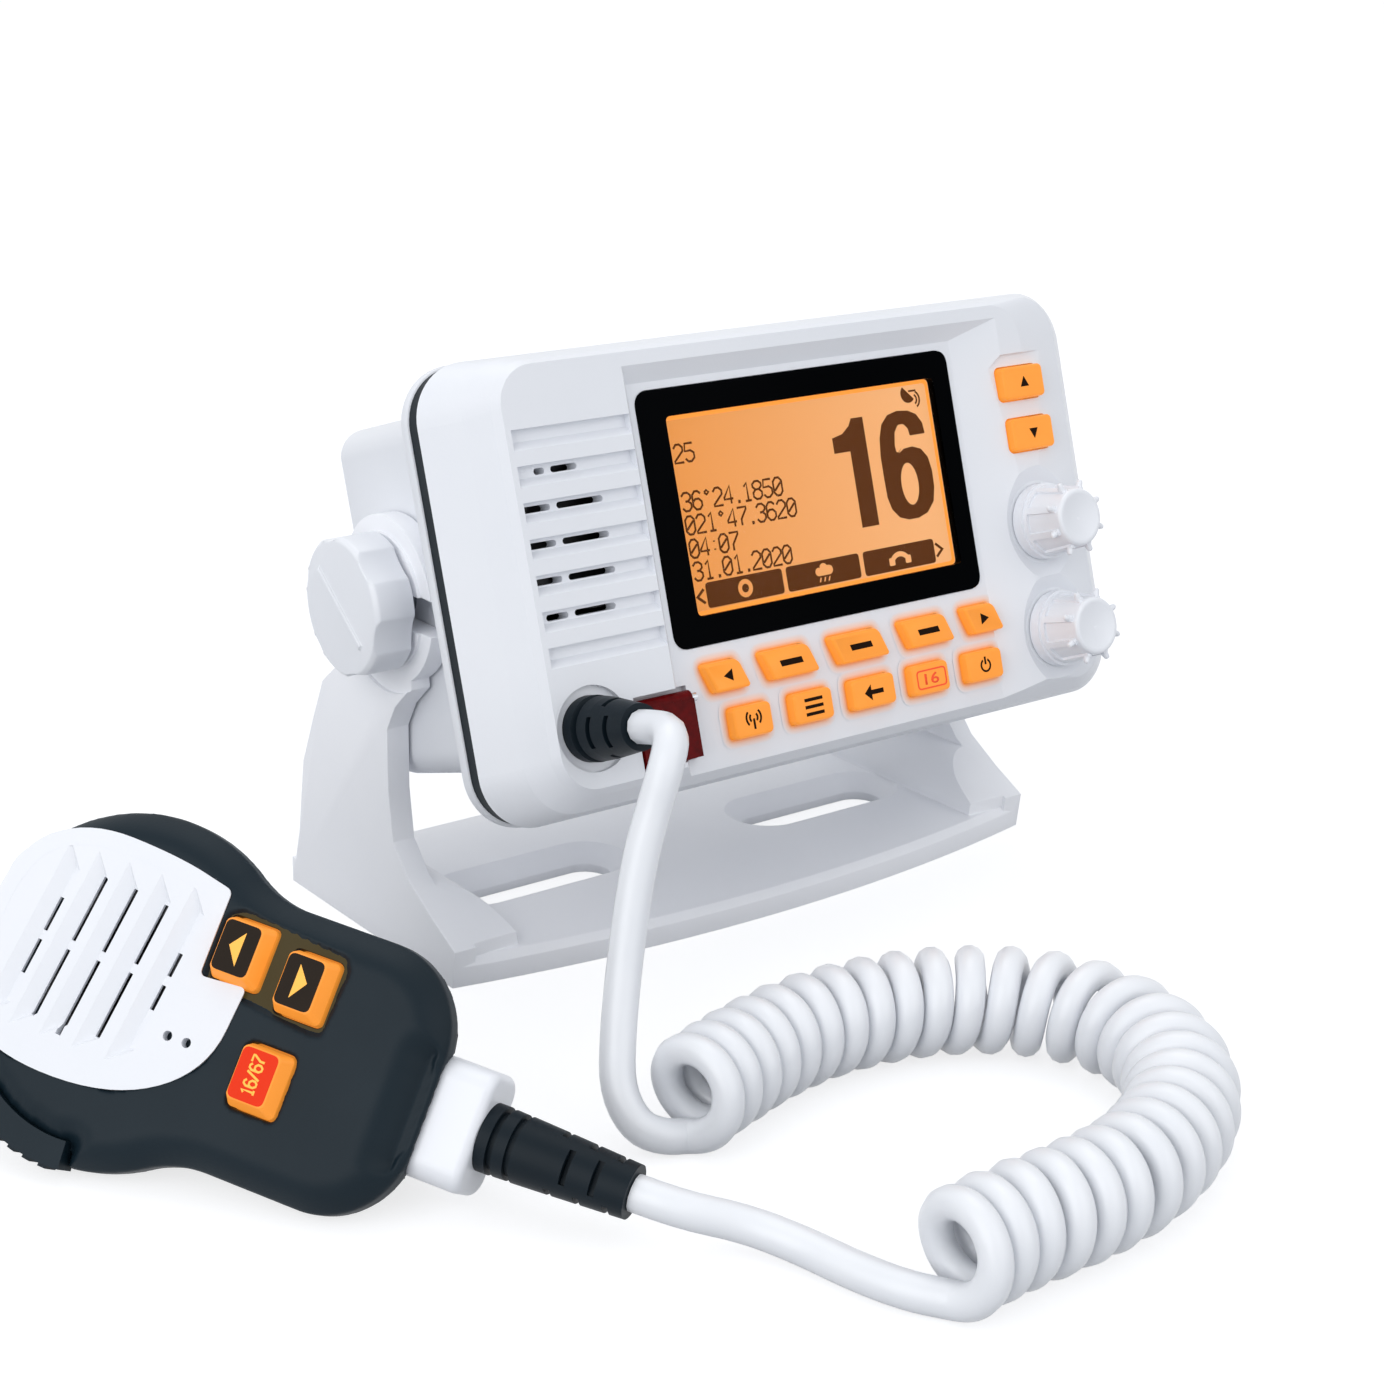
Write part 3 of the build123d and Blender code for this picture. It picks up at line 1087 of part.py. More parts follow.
def talk_bar_space():
    inner = TALK_BAR_INNER - TALK_BAR_TRAVEL - 1.5
    start = TALK_BAR_FROM - 2 * TALK_BAR_CLEARANCE
    stop = TALK_BAR_TO + TALK_BAR_SIDE_ROOM
    low = TALK_BAR_LOW - TALK_BAR_CLEARANCE
    high = TALK_BAR_HIGH + TALK_BAR_CLEARANCE
    return ring_sector(inner, TALK_BAR_RADIUS + 2, start, stop, low, high)


def mic_talk_bar():
    bar = ring_sector(TALK_BAR_INNER, TALK_BAR_RADIUS - TALK_BAR_RIB_DEPTH, TALK_BAR_FROM, TALK_BAR_TO,
                      TALK_BAR_LOW, TALK_BAR_HIGH)
    low = TALK_BAR_LOW + TALK_BAR_RIB_DEPTH
    high = TALK_BAR_HIGH - TALK_BAR_RIB_DEPTH
    half = TALK_BAR_RIB_STEP / 4
    for index in range(TALK_BAR_RIBS):
        middle = TALK_BAR_FROM + (index + 1) * TALK_BAR_RIB_STEP
        bar += ring_sector(TALK_BAR_INNER + 2, TALK_BAR_RADIUS, middle - half, middle + half, low, high)
    return bar


def mic_rear_shell():
    draft = MIC_BACK_DEPTH * tan(radians(MIC_LEAN))
    front = -MIC_FRONT_DEPTH
    body = loft([Pos(0, 0, MIC_BACK_Z) * mic_outline(draft), Pos(0, 0, front) * mic_outline()], ruled=True)
    body = fillet(body.faces().sort_by(Axis.Z)[0].edges(), MIC_BACK_ROUND)
    floor = Pos(0, 0, MIC_BACK_Z + MIC_WALL) * mic_outline(draft + MIC_WALL / 2)
    body -= loft([floor, Pos(0, 0, front) * mic_outline(MIC_WALL + 3.2)], ruled=True)
    for x, y in MIC_POST_PLACES:
        body += disc(MIC_POST_RADIUS, MIC_BACK_Z + MIC_WALL - 1, MIC_BOARD_Z, x, y)
    return body - cord_block()


def mic_board():
    return prism(mic_outline(MIC_BOARD_MARGIN), MIC_BOARD_Z, MIC_BOARD_Z + BOARD_THICKNESS)


def panel_rows():
    """Each row of sound slots: its place on the panel, and its two slots' lengths."""
    for y, left, right in PANEL_SLOT_ROWS:
        yield Pos(PANEL_MIDDLE_X, y) * Rot(0, 0, PANEL_LEAN), left, right


def panel_groove():
    """A louvre with a sharp upper edge and sloped ends, deepest at its slot."""
    half = GROOVE_HALF
    foot = half - GROOVE_END
    inner = foot - GROOVE_ROUND
    low = GROOVE_ROUND - GROOVE_BELOW
    floor_high = PANEL_SLOT_WIDTH / 2
    edge = [(-half, GROOVE_ABOVE), (half, GROOVE_ABOVE), (foot, -GROOVE_BELOW), (-foot, -GROOVE_BELOW)]
    floor = [(-foot, floor_high), (foot, floor_high), (inner, low), (-inner, low)]
    top = Pos(0, 0, PANEL_PROUD + 0.01) * make_face(Polyline(*edge, close=True))
    bottom = Pos(0, 0, PANEL_PROUD - GROOVE_DEPTH) * make_face(Polyline(*floor, close=True))
    return loft([top, bottom], ruled=True)


def mic_speaker_panel():
    body = prism(panel_outline(0.15), -PANEL_THICKNESS, PANEL_PROUD)
    for place, left, right in panel_rows():
        body -= place * panel_groove()
        for x, length in ((-PANEL_SLOT_GAP - left / 2, left), (PANEL_SLOT_GAP + right / 2, right)):
            slot = place * Pos(x, 0) * Rectangle(length, PANEL_SLOT_WIDTH)
            body -= prism(slot, -PANEL_THICKNESS - CUT_PAST, CUT_PAST)
    for x, y in MIC_HOLES:
        body -= disc(MIC_HOLE_RADIUS, -PANEL_THICKNESS - CUT_PAST, CUT_PAST, x, y)
    return body


def mic_speaker():
    high = -PANEL_THICKNESS - SHELL_CLEARANCE
    x = MIC_FACE_OFFSET
    y = MIC_SPEAKER_Y
    rim = disc(MIC_SPEAKER_RADIUS, high - 3.0, high, x, y)
    magnet = disc(MIC_MAGNET_RADIUS, MIC_BOARD_Z + BOARD_THICKNESS, high - 2.5, x, y)
    cone_rim = Pos(x, y, high + 0.1) * Circle(MIC_SPEAKER_RADIUS - 1.5)
    cone_floor = Pos(x, y, high - 2.2) * Circle(5.0)
    return rim + magnet - loft([cone_rim, cone_floor])


def mic_element():
    x, y = MIC_HOLES[1]
    high = -PANEL_THICKNESS - MIC_WALL - SHELL_CLEARANCE
    return disc(MIC_ELEMENT_RADIUS, MIC_BOARD_Z + BOARD_THICKNESS, high, x, y - 1)


def mic_key(x, y):
    """Square key on a flange, its top smaller than its foot and pushed to one corner."""
    high = MIC_KEY_TRAVEL + MIC_KEY_PROUD_PRESSED
    foot = rounded(MIC_KEY_ACROSS, MIC_KEY_ALONG, KEY_CORNER, x, y)
    top_width = MIC_KEY_ACROSS - 2 * MIC_KEY_SLOPE
    top_height = MIC_KEY_ALONG - 2 * MIC_KEY_SLOPE
    top = rounded(top_width, top_height, KEY_CORNER, x + MIC_KEY_SLOPE_X, y + MIC_KEY_SLOPE_Y)
    cap = prism(foot, MIC_KEY_FOOT_Z, 0)
    cap += loft([foot, Pos(0, 0, high) * top], ruled=True)
    cap = fillet(cap.faces().sort_by(Axis.Z)[-1].edges(), MIC_KEY_ROUND / 2)
    flange_width = MIC_KEY_ACROSS + 2 * MIC_KEY_FLANGE
    flange_height = MIC_KEY_ALONG + 2 * MIC_KEY_FLANGE
    flange = rounded(flange_width, flange_height, KEY_CORNER, x, y)
    return cap + prism(flange, MIC_KEY_FOOT_Z, MIC_KEY_FLANGE_Z)


def cord_block():
    """White collar at the cord end, set into both shells."""
    half_x = BLOCK_WIDTH / 2
    half_z = BLOCK_HEIGHT / 2
    body = block(BLOCK_X - half_x, BLOCK_X + half_x, BLOCK_FRONT_Y, BLOCK_FRONT_Y + BLOCK_LENGTH,
                 BLOCK_Z - half_z, BLOCK_Z + half_z)
    return fillet(body.edges().filter_by(Axis.Y), BLOCK_CORNER)


def mic_cord_block():
    body = cord_block()
    return fillet(body.faces().sort_by(Axis.Y)[0].edges(), BLOCK_ROUND)


def mic_strain_relief():
    """Tapered boot with ring grooves near the block and open slots towards its end."""
    groove = RELIEF_RADIUS - 1.1
    profile = Polyline(
        (0, 0),
        (RELIEF_RADIUS, 0),
        (RELIEF_RADIUS, 2.2),
        (groove, 2.2),
        (groove, 3.4),
        (RELIEF_RADIUS - 0.1, 3.4),
        (RELIEF_RADIUS - 0.2, 5.6),
        (groove, 5.6),
        (groove, 6.8),
        (RELIEF_RADIUS - 0.2, 6.8),
        (RELIEF_RADIUS - 0.5, 13.0),
        (RELIEF_END_RADIUS, RELIEF_LENGTH),
        (0, RELIEF_LENGTH),
        close=True,
    )
    body = turned(profile)
    for step in range(RELIEF_SLOTS):
        for turn in (0, 180):
            body -= boot_slot(RELIEF_SLOT_FROM + step * RELIEF_SLOT_STEP, turn + 90 * (step % 2))
    return Pos(BLOCK_X, BLOCK_FRONT_Y, BLOCK_Z) * Rot(90, 0, 0) * body


def mic_hanger_stud():
    neck_low = MIC_BACK_Z - HANGER_NECK
    neck = disc(HANGER_NECK_RADIUS, neck_low, MIC_BACK_Z, 0, HANGER_Y)
    head = disc(HANGER_HEAD_RADIUS, neck_low - HANGER_HEAD, neck_low, 0, HANGER_Y)
    body = neck + head
    return fillet(body.faces().sort_by(Axis.Z)[0].edges(), 1.0)


def mic_screw(x, y):
    return disc(MIC_SCREW_RADIUS, MIC_BACK_Z - 1.0, MIC_BACK_Z, x, y)


# ---------------------------------------------------------------- everything, node by node
def radio_nodes():
    nodes = {
        "front_case": front_case(),
        "case_gasket": case_gasket(),
        "rear_housing": rear_housing(),
        "heat_sink": heat_sink(),
        "display_window": display_window(),
        "lcd_panel": lcd_panel(),
        "speaker": speaker(),
        "main_board": main_board(),
        "keypad_board": keypad_board(),
        "squelch_encoder": encoder(KNOB_PLACES["squelch"]),
        "volume_encoder": encoder(KNOB_PLACES["volume"]),
        "gland_boot": gland_boot(),
        "gland_nut": gland_nut(),
        "distress_hinge_pin": bar_along_x(DISTRESS_PIN_RADIUS, PIN_HALF_LENGTH, DISTRESS_X, PIN_Y, PIN_Z),
        "distress_cover": distress_cover(),
        "distress_button": distress_button(),
        "antenna_socket": antenna_socket(),
        "power_grommet": power_grommet(),
        "accessory_socket": accessory_socket(),
        "case_screws": Compound([case_screw(x, y) for x, y in screw_places()]),
        "squelch_knob": control_knob(KNOB_PLACES["squelch"]),
        "volume_knob": control_knob(KNOB_PLACES["volume"]),
    }
    for name, x, y, width, height, lean, surface_z in key_places():
        nodes[name] = key_cap(x, y, width, height, lean, surface_z)
    return {name: RADIO * shape for name, shape in nodes.items()}


def clamp_nodes():
    return {
        "clamp_knob_right": RADIO * on_right(clamp_knob()),
        "clamp_knob_left": RADIO * on_left(clamp_knob()),
        "clamp_stud_right": RADIO * on_right(clamp_stud()),
        "clamp_stud_left": RADIO * on_left(clamp_stud()),
    }


def mic_nodes():
    nodes = {
        "mic_front_shell": mic_front_shell(),
        "mic_rear_shell": mic_rear_shell(),
        "mic_speaker_panel": mic_speaker_panel(),
        "mic_speaker": mic_speaker(),
        "mic_board": mic_board(),
        "mic_element": mic_element(),
        "mic_talk_bar": mic_talk_bar(),
        "mic_cord_block": mic_cord_block(),
        "mic_strain_relief": mic_strain_relief(),
        "mic_hanger_stud": mic_hanger_stud(),
        "mic_screws": Compound([mic_screw(x, y) for x, y in MIC_SCREW_PLACES]),
    }
    for name, (x, y) in MIC_KEYS.items():
        nodes[name] = mic_key(x, y)
    return {name: MIC * shape for name, shape in nodes.items()}


def cord_nodes():
    return {"cord_drop": cord_drop(), "cord_coil": cord_coil(), "cord_tail": cord_tail()}


for node_name, node_shape in {"bracket": bracket(), **radio_nodes(), **clamp_nodes(),
                              **mic_nodes(), **cord_nodes()}.items():
    save(node_name, node_shape)
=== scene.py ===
import json
import math

import bpy
from mathutils import Matrix, Vector
from mathutils.kdtree import KDTree


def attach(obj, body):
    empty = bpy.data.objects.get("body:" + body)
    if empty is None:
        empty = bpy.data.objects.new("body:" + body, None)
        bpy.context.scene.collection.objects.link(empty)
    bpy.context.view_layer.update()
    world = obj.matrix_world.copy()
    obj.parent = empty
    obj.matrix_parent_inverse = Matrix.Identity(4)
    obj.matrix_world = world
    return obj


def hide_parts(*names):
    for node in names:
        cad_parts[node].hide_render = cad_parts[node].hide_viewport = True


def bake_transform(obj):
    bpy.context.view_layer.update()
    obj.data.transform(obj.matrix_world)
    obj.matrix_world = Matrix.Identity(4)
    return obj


# VHF marine radio on its tilting bracket, with a coiled cord and a hand microphone.
# Outlines below are in millimetres on the radio's face or the microphone's front.

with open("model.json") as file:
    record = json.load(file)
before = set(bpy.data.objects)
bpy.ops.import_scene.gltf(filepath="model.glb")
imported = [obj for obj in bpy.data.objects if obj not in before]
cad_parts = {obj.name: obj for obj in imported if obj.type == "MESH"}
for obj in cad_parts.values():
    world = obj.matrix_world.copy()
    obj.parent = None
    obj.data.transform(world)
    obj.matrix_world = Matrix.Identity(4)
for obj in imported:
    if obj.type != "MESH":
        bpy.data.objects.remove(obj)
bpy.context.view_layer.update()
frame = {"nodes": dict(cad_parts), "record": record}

mm = 0.001

# the radio's face: x to the right, y up, z out of the face, origin on the tilt axis
tiltAxis = Vector((0, -0.0053, 0.0782))
faceLean = 17.8
radioFace = Matrix.Translation(tiltAxis) @ Matrix.Rotation(math.radians(90 - faceLean), 4, "X")
faceHeight = 45.8
basinHeight = 43.4

# the keys that are moulded in silicone, on the radio and on the microphone
radioKeys = tuple("key_" + name for name in (
    "left", "soft_1", "soft_2", "soft_3", "right", "high_low", "menu", "clear", "sixteen", "power",
    "up", "down"))
micKeyNames = ("mic_key_left", "mic_key_right", "mic_key_red")

# the microphone's front: x across, y from the cord to the top, z out of the front
micPose = {"middle": (-134.06, -105.91, 22.75), "heading": 125.7, "lean": 32.0, "rise": 10.1}


def micFrontMatrix():
    heading, lean, rise = (math.radians(micPose[name]) for name in ("heading", "lean", "rise"))
    alongFloor = Vector((math.cos(heading), math.sin(heading), 0))
    towardsUser = Vector((-math.sin(heading), math.cos(heading), 0))
    upwards = Vector((0, 0, 1))
    outwards = towardsUser * math.cos(lean) + upwards * math.sin(lean)
    upTheFront = upwards * math.cos(lean) - towardsUser * math.sin(lean)
    across = upTheFront * math.cos(rise) - alongFloor * math.sin(rise)
    along = alongFloor * math.cos(rise) + upTheFront * math.sin(rise)
    turned = Matrix((across, along, outwards)).transposed().to_4x4()
    return Matrix.Translation(Vector(micPose["middle"]) * mm) @ turned


micFront = micFrontMatrix()


def linear(hexColour):
    # from sRGB as it is written to the linear values that a shader takes
    values = []
    for start in (0, 2, 4):
        part = int(hexColour[start:start + 2], 16) / 255
        values.append(part / 12.92 if part <= 0.04045 else ((part + 0.055) / 1.055) ** 2.4)
    return (*values, 1.0)


def addNode(material, kind, settings=None, links=None):
    # capitalised names and numbers are sockets, the others are the node's own settings
    node = material.node_tree.nodes.new(kind)
    for name, value in (settings or {}).items():
        if isinstance(name, int) or name[0].isupper():
            node.inputs[name].default_value = value
        else:
            setattr(node, name, value)
    for name, source in (links or {}).items():
        material.node_tree.links.new(source, node.inputs[name])
    return node


def pick(*pieces):
    bpy.ops.object.select_all(action="DESELECT")
    for piece in pieces:
        piece.select_set(True)
    bpy.context.view_layer.objects.active = pieces[0]


def joined(name, pieces):
    pick(*pieces)
    if len(pieces) > 1:
        bpy.ops.object.join()
    pieces[0].name = name
    pieces[0].data.name = name
    return pieces[0]


def settle(piece, place):
    # puts a finished piece where it belongs, with its place in its mesh
    piece.data.transform(place @ piece.matrix_world)
    piece.matrix_world = Matrix.Identity(4)


def newPiece(name, data):
    piece = bpy.data.objects.new(name, data)
    bpy.context.scene.collection.objects.link(piece)
    return piece


def madeMesh(piece):
    pick(piece)
    bpy.ops.object.convert(target="MESH")
    return bpy.context.object


def thickened(line, radius, roundness):
    # a mesh of a curve that is given a round section
    line.data.bevel_depth = radius * mm
    line.data.bevel_resolution = roundness
    line.data.use_fill_caps = True
    return madeMesh(line)


def bevelled(piece, width, angle, clamp=True):
    # every edge sharper than the angle made round; the clamp holds the width back where edges are close
    pick(piece)
    edge = piece.modifiers.new("edge", "BEVEL")
    edge.width = width * mm
    edge.segments = 3
    edge.limit_method = "ANGLE"
    edge.angle_limit = math.radians(angle)
    edge.use_clamp_overlap = clamp
    edge.loop_slide = True
    bpy.ops.object.modifier_apply(modifier=edge.name)


def flatPiece(name, outlines, low, high, place):
    # a plate between two heights; a second outline inside the first is a hole
    curve = bpy.data.curves.new(name, "CURVE")
    curve.dimensions = "2D"
    curve.fill_mode = "BOTH"
    for outline in outlines:
        spline = curve.splines.new("POLY")
        spline.points.add(len(outline) - 1)
        for point, (x, y) in zip(spline.points, outline):
            point.co = (x * mm, y * mm, 0, 1)
        spline.use_cyclic_u = True
    curve.extrude = (high - low) / 2 * mm
    piece = newPiece(name, curve)
    piece.location.z = (high + low) / 2 * mm
    bpy.context.view_layer.update()
    piece = madeMesh(piece)
    settle(piece, place)
    return piece


def facePlates(shapes, x, y, low, high):
    # every shape is a list of outlines and makes one plate, moved to its place on the radio's face
    moved = [[[(x + px, y + py) for px, py in outline] for outline in shape] for shape in shapes]
    return [flatPiece("plate", outlines, low, high, radioFace) for outlines in moved]


def faceFigures(words, box, low, high, bold):
    # figures on the radio's face, scaled to fill a box: left, right, bottom, top
    left, right, bottom, top = box
    bpy.ops.object.select_all(action="DESELECT")
    bpy.ops.object.text_add(location=(0, 0, 0))
    piece = bpy.context.object
    piece.data.body = words
    piece.data.offset = bold
    piece.data.resolution_u = 3
    piece = madeMesh(piece)
    xs = [vertex.co.x for vertex in piece.data.vertices]
    ys = [vertex.co.y for vertex in piece.data.vertices]
    wide = (right - left) / (max(xs) - min(xs))
    tall = (top - bottom) / (max(ys) - min(ys))
    fitted = Matrix.Translation((left - min(xs) * wide, bottom - min(ys) * tall, low))
    piece.data.transform(fitted @ Matrix.Diagonal((wide, tall, 1, 1)))
    solid = piece.modifiers.new("thickness", "SOLIDIFY")
    solid.thickness = high - low
    solid.offset = 1
    bpy.ops.object.modifier_apply(modifier=solid.name)
    piece.data.transform(Matrix.Scale(mm, 4))
    settle(piece, radioFace)
    return piece


def bowBetween(start, corner, end, steps):
    # points of the curve that leaves start towards the corner and comes from it to end
    shares = [step / steps for step in range(steps + 1)]
    return [tuple(start * (1 - share) ** 2 + corner * 2 * share * (1 - share) + end * share ** 2)
            for share in shares]


def roundedOutline(corners, radius, steps=5):
    # a closed outline with its corners rounded; radius is one value or one for each corner
    count = len(corners)
    radii = radius if isinstance(radius, (tuple, list)) else [radius] * count
    outline = []
    for index, corner in enumerate(corners):
        here = Vector(corner)
        before = (Vector(corners[index - 1]) - here).normalized()
        after = (Vector(corners[(index + 1) % count]) - here).normalized()
        half = before.angle(after) / 2
        reach = radii[index] / math.tan(half)
        outline += bowBetween(here + before * reach, here, here + after * reach, steps)
    return outline


def rectangle(left, right, bottom, top):
    return [(left, bottom), (right, bottom), (right, top), (left, top)]


def ringOutline(x, y, radius, steps=32, start=0.0, end=360.0):
    angles = [math.radians(start + (end - start) * step / steps) for step in range(steps + 1)]
    if abs(end - start) >= 360:
        angles.pop()
    return [(x + radius * math.cos(angle), y + radius * math.sin(angle)) for angle in angles]


def bandOutline(x, y, outer, inner, steps, start, end):
    # a part of a flat ring, between two radii and two angles
    return ringOutline(x, y, outer, steps, start, end) + ringOutline(x, y, inner, steps, end, start)


def grained(colour, shade, rough, grain, depth, patch, **more):
    # sRGB colours with slow clouds of the shade as large as "patch", and a fine grain of a size and a depth,
    # all in millimetres
    return dict(more, colour=colour, shade=shade, rough=rough, grain=grain, depth=depth, patch=patch)


def smooth(colour, shade, rough, patch, **more):
    # the same without a grain
    return dict(more, colour=colour, shade=shade, rough=rough, patch=patch)


finishes = {
    # moulded ASA, sprayed pale: satin, with a very fine spark-eroded grain
    "mouldedAsa": grained("e9ebf0", "e2e5eb", 0.42, 0.5, 0.012, 40),
    # the same resin with a coarser grain, for the bracket; its colour is painted paler, as painted light that
    # lifts the shade the lamps leave on it
    "grainedAsaPaintedPaler": grained("f7f8fc", "f1f3f8", 0.46, 0.7, 0.02, 40),
    # the same resin polished in the mould, as on knobs and small pieces
    "polishedAsa": grained("eceef3", "e6e9ef", 0.3, 1.2, 0.004, 25),
    # slate polycarbonate blend with a leather-like moulded texture
    "texturedPolycarbonate": grained("12212a", "0f1c24", 0.45, 0.45, 0.02, 18, specular=0.16),
    # nitrile rubber, matt and slightly dusty
    "nitrileRubber": grained("101c24", "0d171e", 0.45, 0.7, 0.015, 9, specular=0.14),
    # black cast acrylic, mirror smooth but for its anti-glare coat
    "blackAcrylic": smooth("010203", "010204", 0.12, 60, specular=0.01),
    # clear cast acrylic with an anti-glare coat, which leaves almost no reflection
    "clearAcrylic": {"colour": "ffffff", "rough": 0.0, "ior": 1.04, "transmission": 1.0},
    # lit silicone keys: translucent orange, a soft skin
    "litSilicone": grained("cf7f2c", "c47222", 0.42, 0.6, 0.006, 5, specular=0.3, glow="ffa03a",
                           strength=0.5),
    # silk-screened ink on the keys: brown, and lit red and yellow
    "printedInk": grained("1c0c02", "160901", 0.5, 0.2, 0.003, 1.5, specular=0.05),
    "redInk": grained("d8420f", "cf3d0e", 0.5, 0.2, 0.003, 1.5, glow="ff4a14", strength=0.3),
    "yellowInk": grained("d9a03a", "d09634", 0.5, 0.2, 0.003, 1.5, glow="ffb347", strength=0.5),
    # the lit liquid crystal is paler to the right, brightest at its edge, and its figures are dark
    "liquidCrystal": smooth("5c3414", "563012", 0.4, 30, specular=0.1, glow="e8974c", glowRight="f6b77e",
                            glowSpan=(-34, 30), strength=0.9),
    "crystalRim": smooth("6b3a12", "63350f", 0.4, 30, specular=0.1, glow="ff9d40", strength=1.0),
    "crystalInk": grained("2a1406", "241105", 0.6, 0.35, 0.004, 0.5, specular=0.1, glow="6b380c",
                          strength=0.55),
    # hard key tops of moulded ABS with a glossy skin, brown and lit red
    "brownKeyTop": grained("1f1204", "170d02", 0.3, 0.8, 0.004, 6, specular=0.1),
    "redKeyTop": grained("b82405", "ae2003", 0.32, 0.8, 0.004, 5, specular=0.1, glow="f03a0c",
                         strength=0.45),
    # bronze lacquer round the microphone's keys, with their light on it painted as a faint warm glow
    "bronzeLacquer": grained("2b2a1e", "232419", 0.45, 0.6, 0.004, 7, specular=0.1, glow="6a5526",
                             strength=0.3),
    # red polycarbonate lid, clear but drawn opaque, and the red silicone button under it
    # painted light on the lid: its faint red glow and its brighter red clouds stand in for light through the
    # clear plastic
    "redPolycarbonate": smooth("1c0102", "6e0609", 0.15, 2.0, specular=0.06, glow="c4141c", strength=0.03),
    "redSilicone": grained("b3121a", "8f0d14", 0.4, 0.5, 0.006, 4, glow="c4141c", strength=0.25),
    # turned stainless steel, nickel plate and painted cast aluminium
    "stainlessSteel": grained("c9ccd0", "bcc0c5", 0.22, 0.25, 0.003, 4, metallic=1.0),
    "nickelPlate": grained("cfc8ba", "c2baab", 0.18, 0.4, 0.003, 4, metallic=1.0),
    "paintedCasting": grained("d3d7dc", "c8ccd2", 0.5, 0.9, 0.03, 14),
    # polyurethane cord jacket: extruded smooth, with a waxy gloss
    "polyurethane": grained("eceef2", "e4e7ec", 0.3, 2.5, 0.008, 12, waxy=0.12),
    # black nylon sockets, speaker cones and other small parts
    "blackNylon": grained("17181b", "111215", 0.5, 0.5, 0.008, 6),
    # green solder mask on glass epoxy
    "circuitBoard": grained("1f4a2d", "18402a", 0.35, 0.6, 0.006, 3),
}
# the sockets of a colour mix, which share their names with others
firstColour, secondColour, mixedColour = 6, 7, 2
cloudDetail = 3.0
grainDetail = 2.0
roughSpread = 0.12
waxyReach = 0.002


def makeFinish(name, finish):
    material = bpy.data.materials.new(name)
    material.use_nodes = True
    shader = material.node_tree.nodes["Principled BSDF"]
    shader.inputs["Roughness"].default_value = finish["rough"]
    shader.inputs["Metallic"].default_value = finish.get("metallic", 0.0)
    if "ior" in finish:
        shader.inputs["IOR"].default_value = finish["ior"]
    shader.inputs["Transmission Weight"].default_value = finish.get("transmission", 0.0)
    if "specular" in finish:
        shader.inputs["Specular IOR Level"].default_value = finish["specular"]
    if "waxy" in finish:
        shader.inputs["Subsurface Weight"].default_value = finish["waxy"]
        shader.inputs["Subsurface Radius"].default_value = (waxyReach, waxyReach, waxyReach)
        shader.inputs["Subsurface Scale"].default_value = 1.0
    shader.inputs["Base Color"].default_value = linear(finish["colour"])
    place = addNode(material, "ShaderNodeTexCoord")
    links = material.node_tree.links
    if "patch" in finish:
        clouds = addNode(material, "ShaderNodeTexNoise",
                         {"Scale": 1 / (finish["patch"] * mm), "Detail": cloudDetail},
                         {"Vector": place.outputs["Object"]})
        blend = addNode(material, "ShaderNodeMix",
                        {"data_type": "RGBA", firstColour: linear(finish["colour"]),
                         secondColour: linear(finish["shade"])}, {"Factor": clouds.outputs["Fac"]})
        links.new(blend.outputs[mixedColour], shader.inputs["Base Color"])
        low, high = finish["rough"] * (1 - roughSpread), finish["rough"] * (1 + roughSpread)
        span = addNode(material, "ShaderNodeMapRange", {"To Min": low, "To Max": high},
                       {"Value": clouds.outputs["Fac"]})
        links.new(span.outputs["Result"], shader.inputs["Roughness"])
    if "grain" in finish:
        grain = addNode(material, "ShaderNodeTexNoise",
                        {"Scale": 1 / (finish["grain"] * mm), "Detail": grainDetail},
                        {"Vector": place.outputs["Object"]})
        bump = addNode(material, "ShaderNodeBump",
                       {"Strength": 1.0, "Distance": finish["depth"] * mm}, {"Height": grain.outputs["Fac"]})
        links.new(bump.outputs["Normal"], shader.inputs["Normal"])
    if "glow" in finish:
        shader.inputs["Emission Color"].default_value = linear(finish["glow"])
        shader.inputs["Emission Strength"].default_value = finish["strength"]
    if "glowRight" in finish:
        left, right = finish["glowSpan"]
        parts = addNode(material, "ShaderNodeSeparateXYZ", None, {"Vector": place.outputs["Object"]})
        across = addNode(material, "ShaderNodeMapRange", {"From Min": left * mm, "From Max": right * mm},
                         {"Value": parts.outputs["X"]})
        warm = addNode(material, "ShaderNodeMix",
                       {"data_type": "RGBA", firstColour: linear(finish["glow"]),
                        secondColour: linear(finish["glowRight"])}, {"Factor": across.outputs["Result"]})
        links.new(warm.outputs[mixedColour], shader.inputs["Emission Color"])
    return material


materials = {name: makeFinish(name, finish) for name, finish in finishes.items()}
print("materials made:", len(materials))


def dress(piece, finish):
    piece.data.materials.clear()
    piece.data.materials.append(materials[finish])


# where the camera stands in millimetres, how it is turned in degrees and what it sees
camera = {"place": (-330.2, -437.1, 229.75), "down": 18.99, "around": 37.35, "roll": 1.21, "lens": 65.35,
          "sensor": 36, "farthest": 100}


def addCamera():
    down, around, roll = (math.radians(camera[name]) for name in ("down", "around", "roll"))
    right = Vector((math.cos(around), -math.sin(around), 0))
    forward = Vector((math.sin(around) * math.cos(down), math.cos(around) * math.cos(down), -math.sin(down)))
    below = forward.cross(right)
    pictureRight = right * math.cos(roll) - below * math.sin(roll)
    pictureDown = right * math.sin(roll) + below * math.cos(roll)
    turned = Matrix((pictureRight, -pictureDown, -forward)).transposed().to_4x4()
    lens = bpy.data.cameras.new("camera")
    lens.lens = camera["lens"]
    lens.sensor_width = camera["sensor"]
    lens.clip_end = camera["farthest"]
    piece = newPiece("camera", lens)
    piece.matrix_world = Matrix.Translation(Vector(camera["place"]) * mm) @ turned
    bpy.context.scene.camera = piece


addCamera()

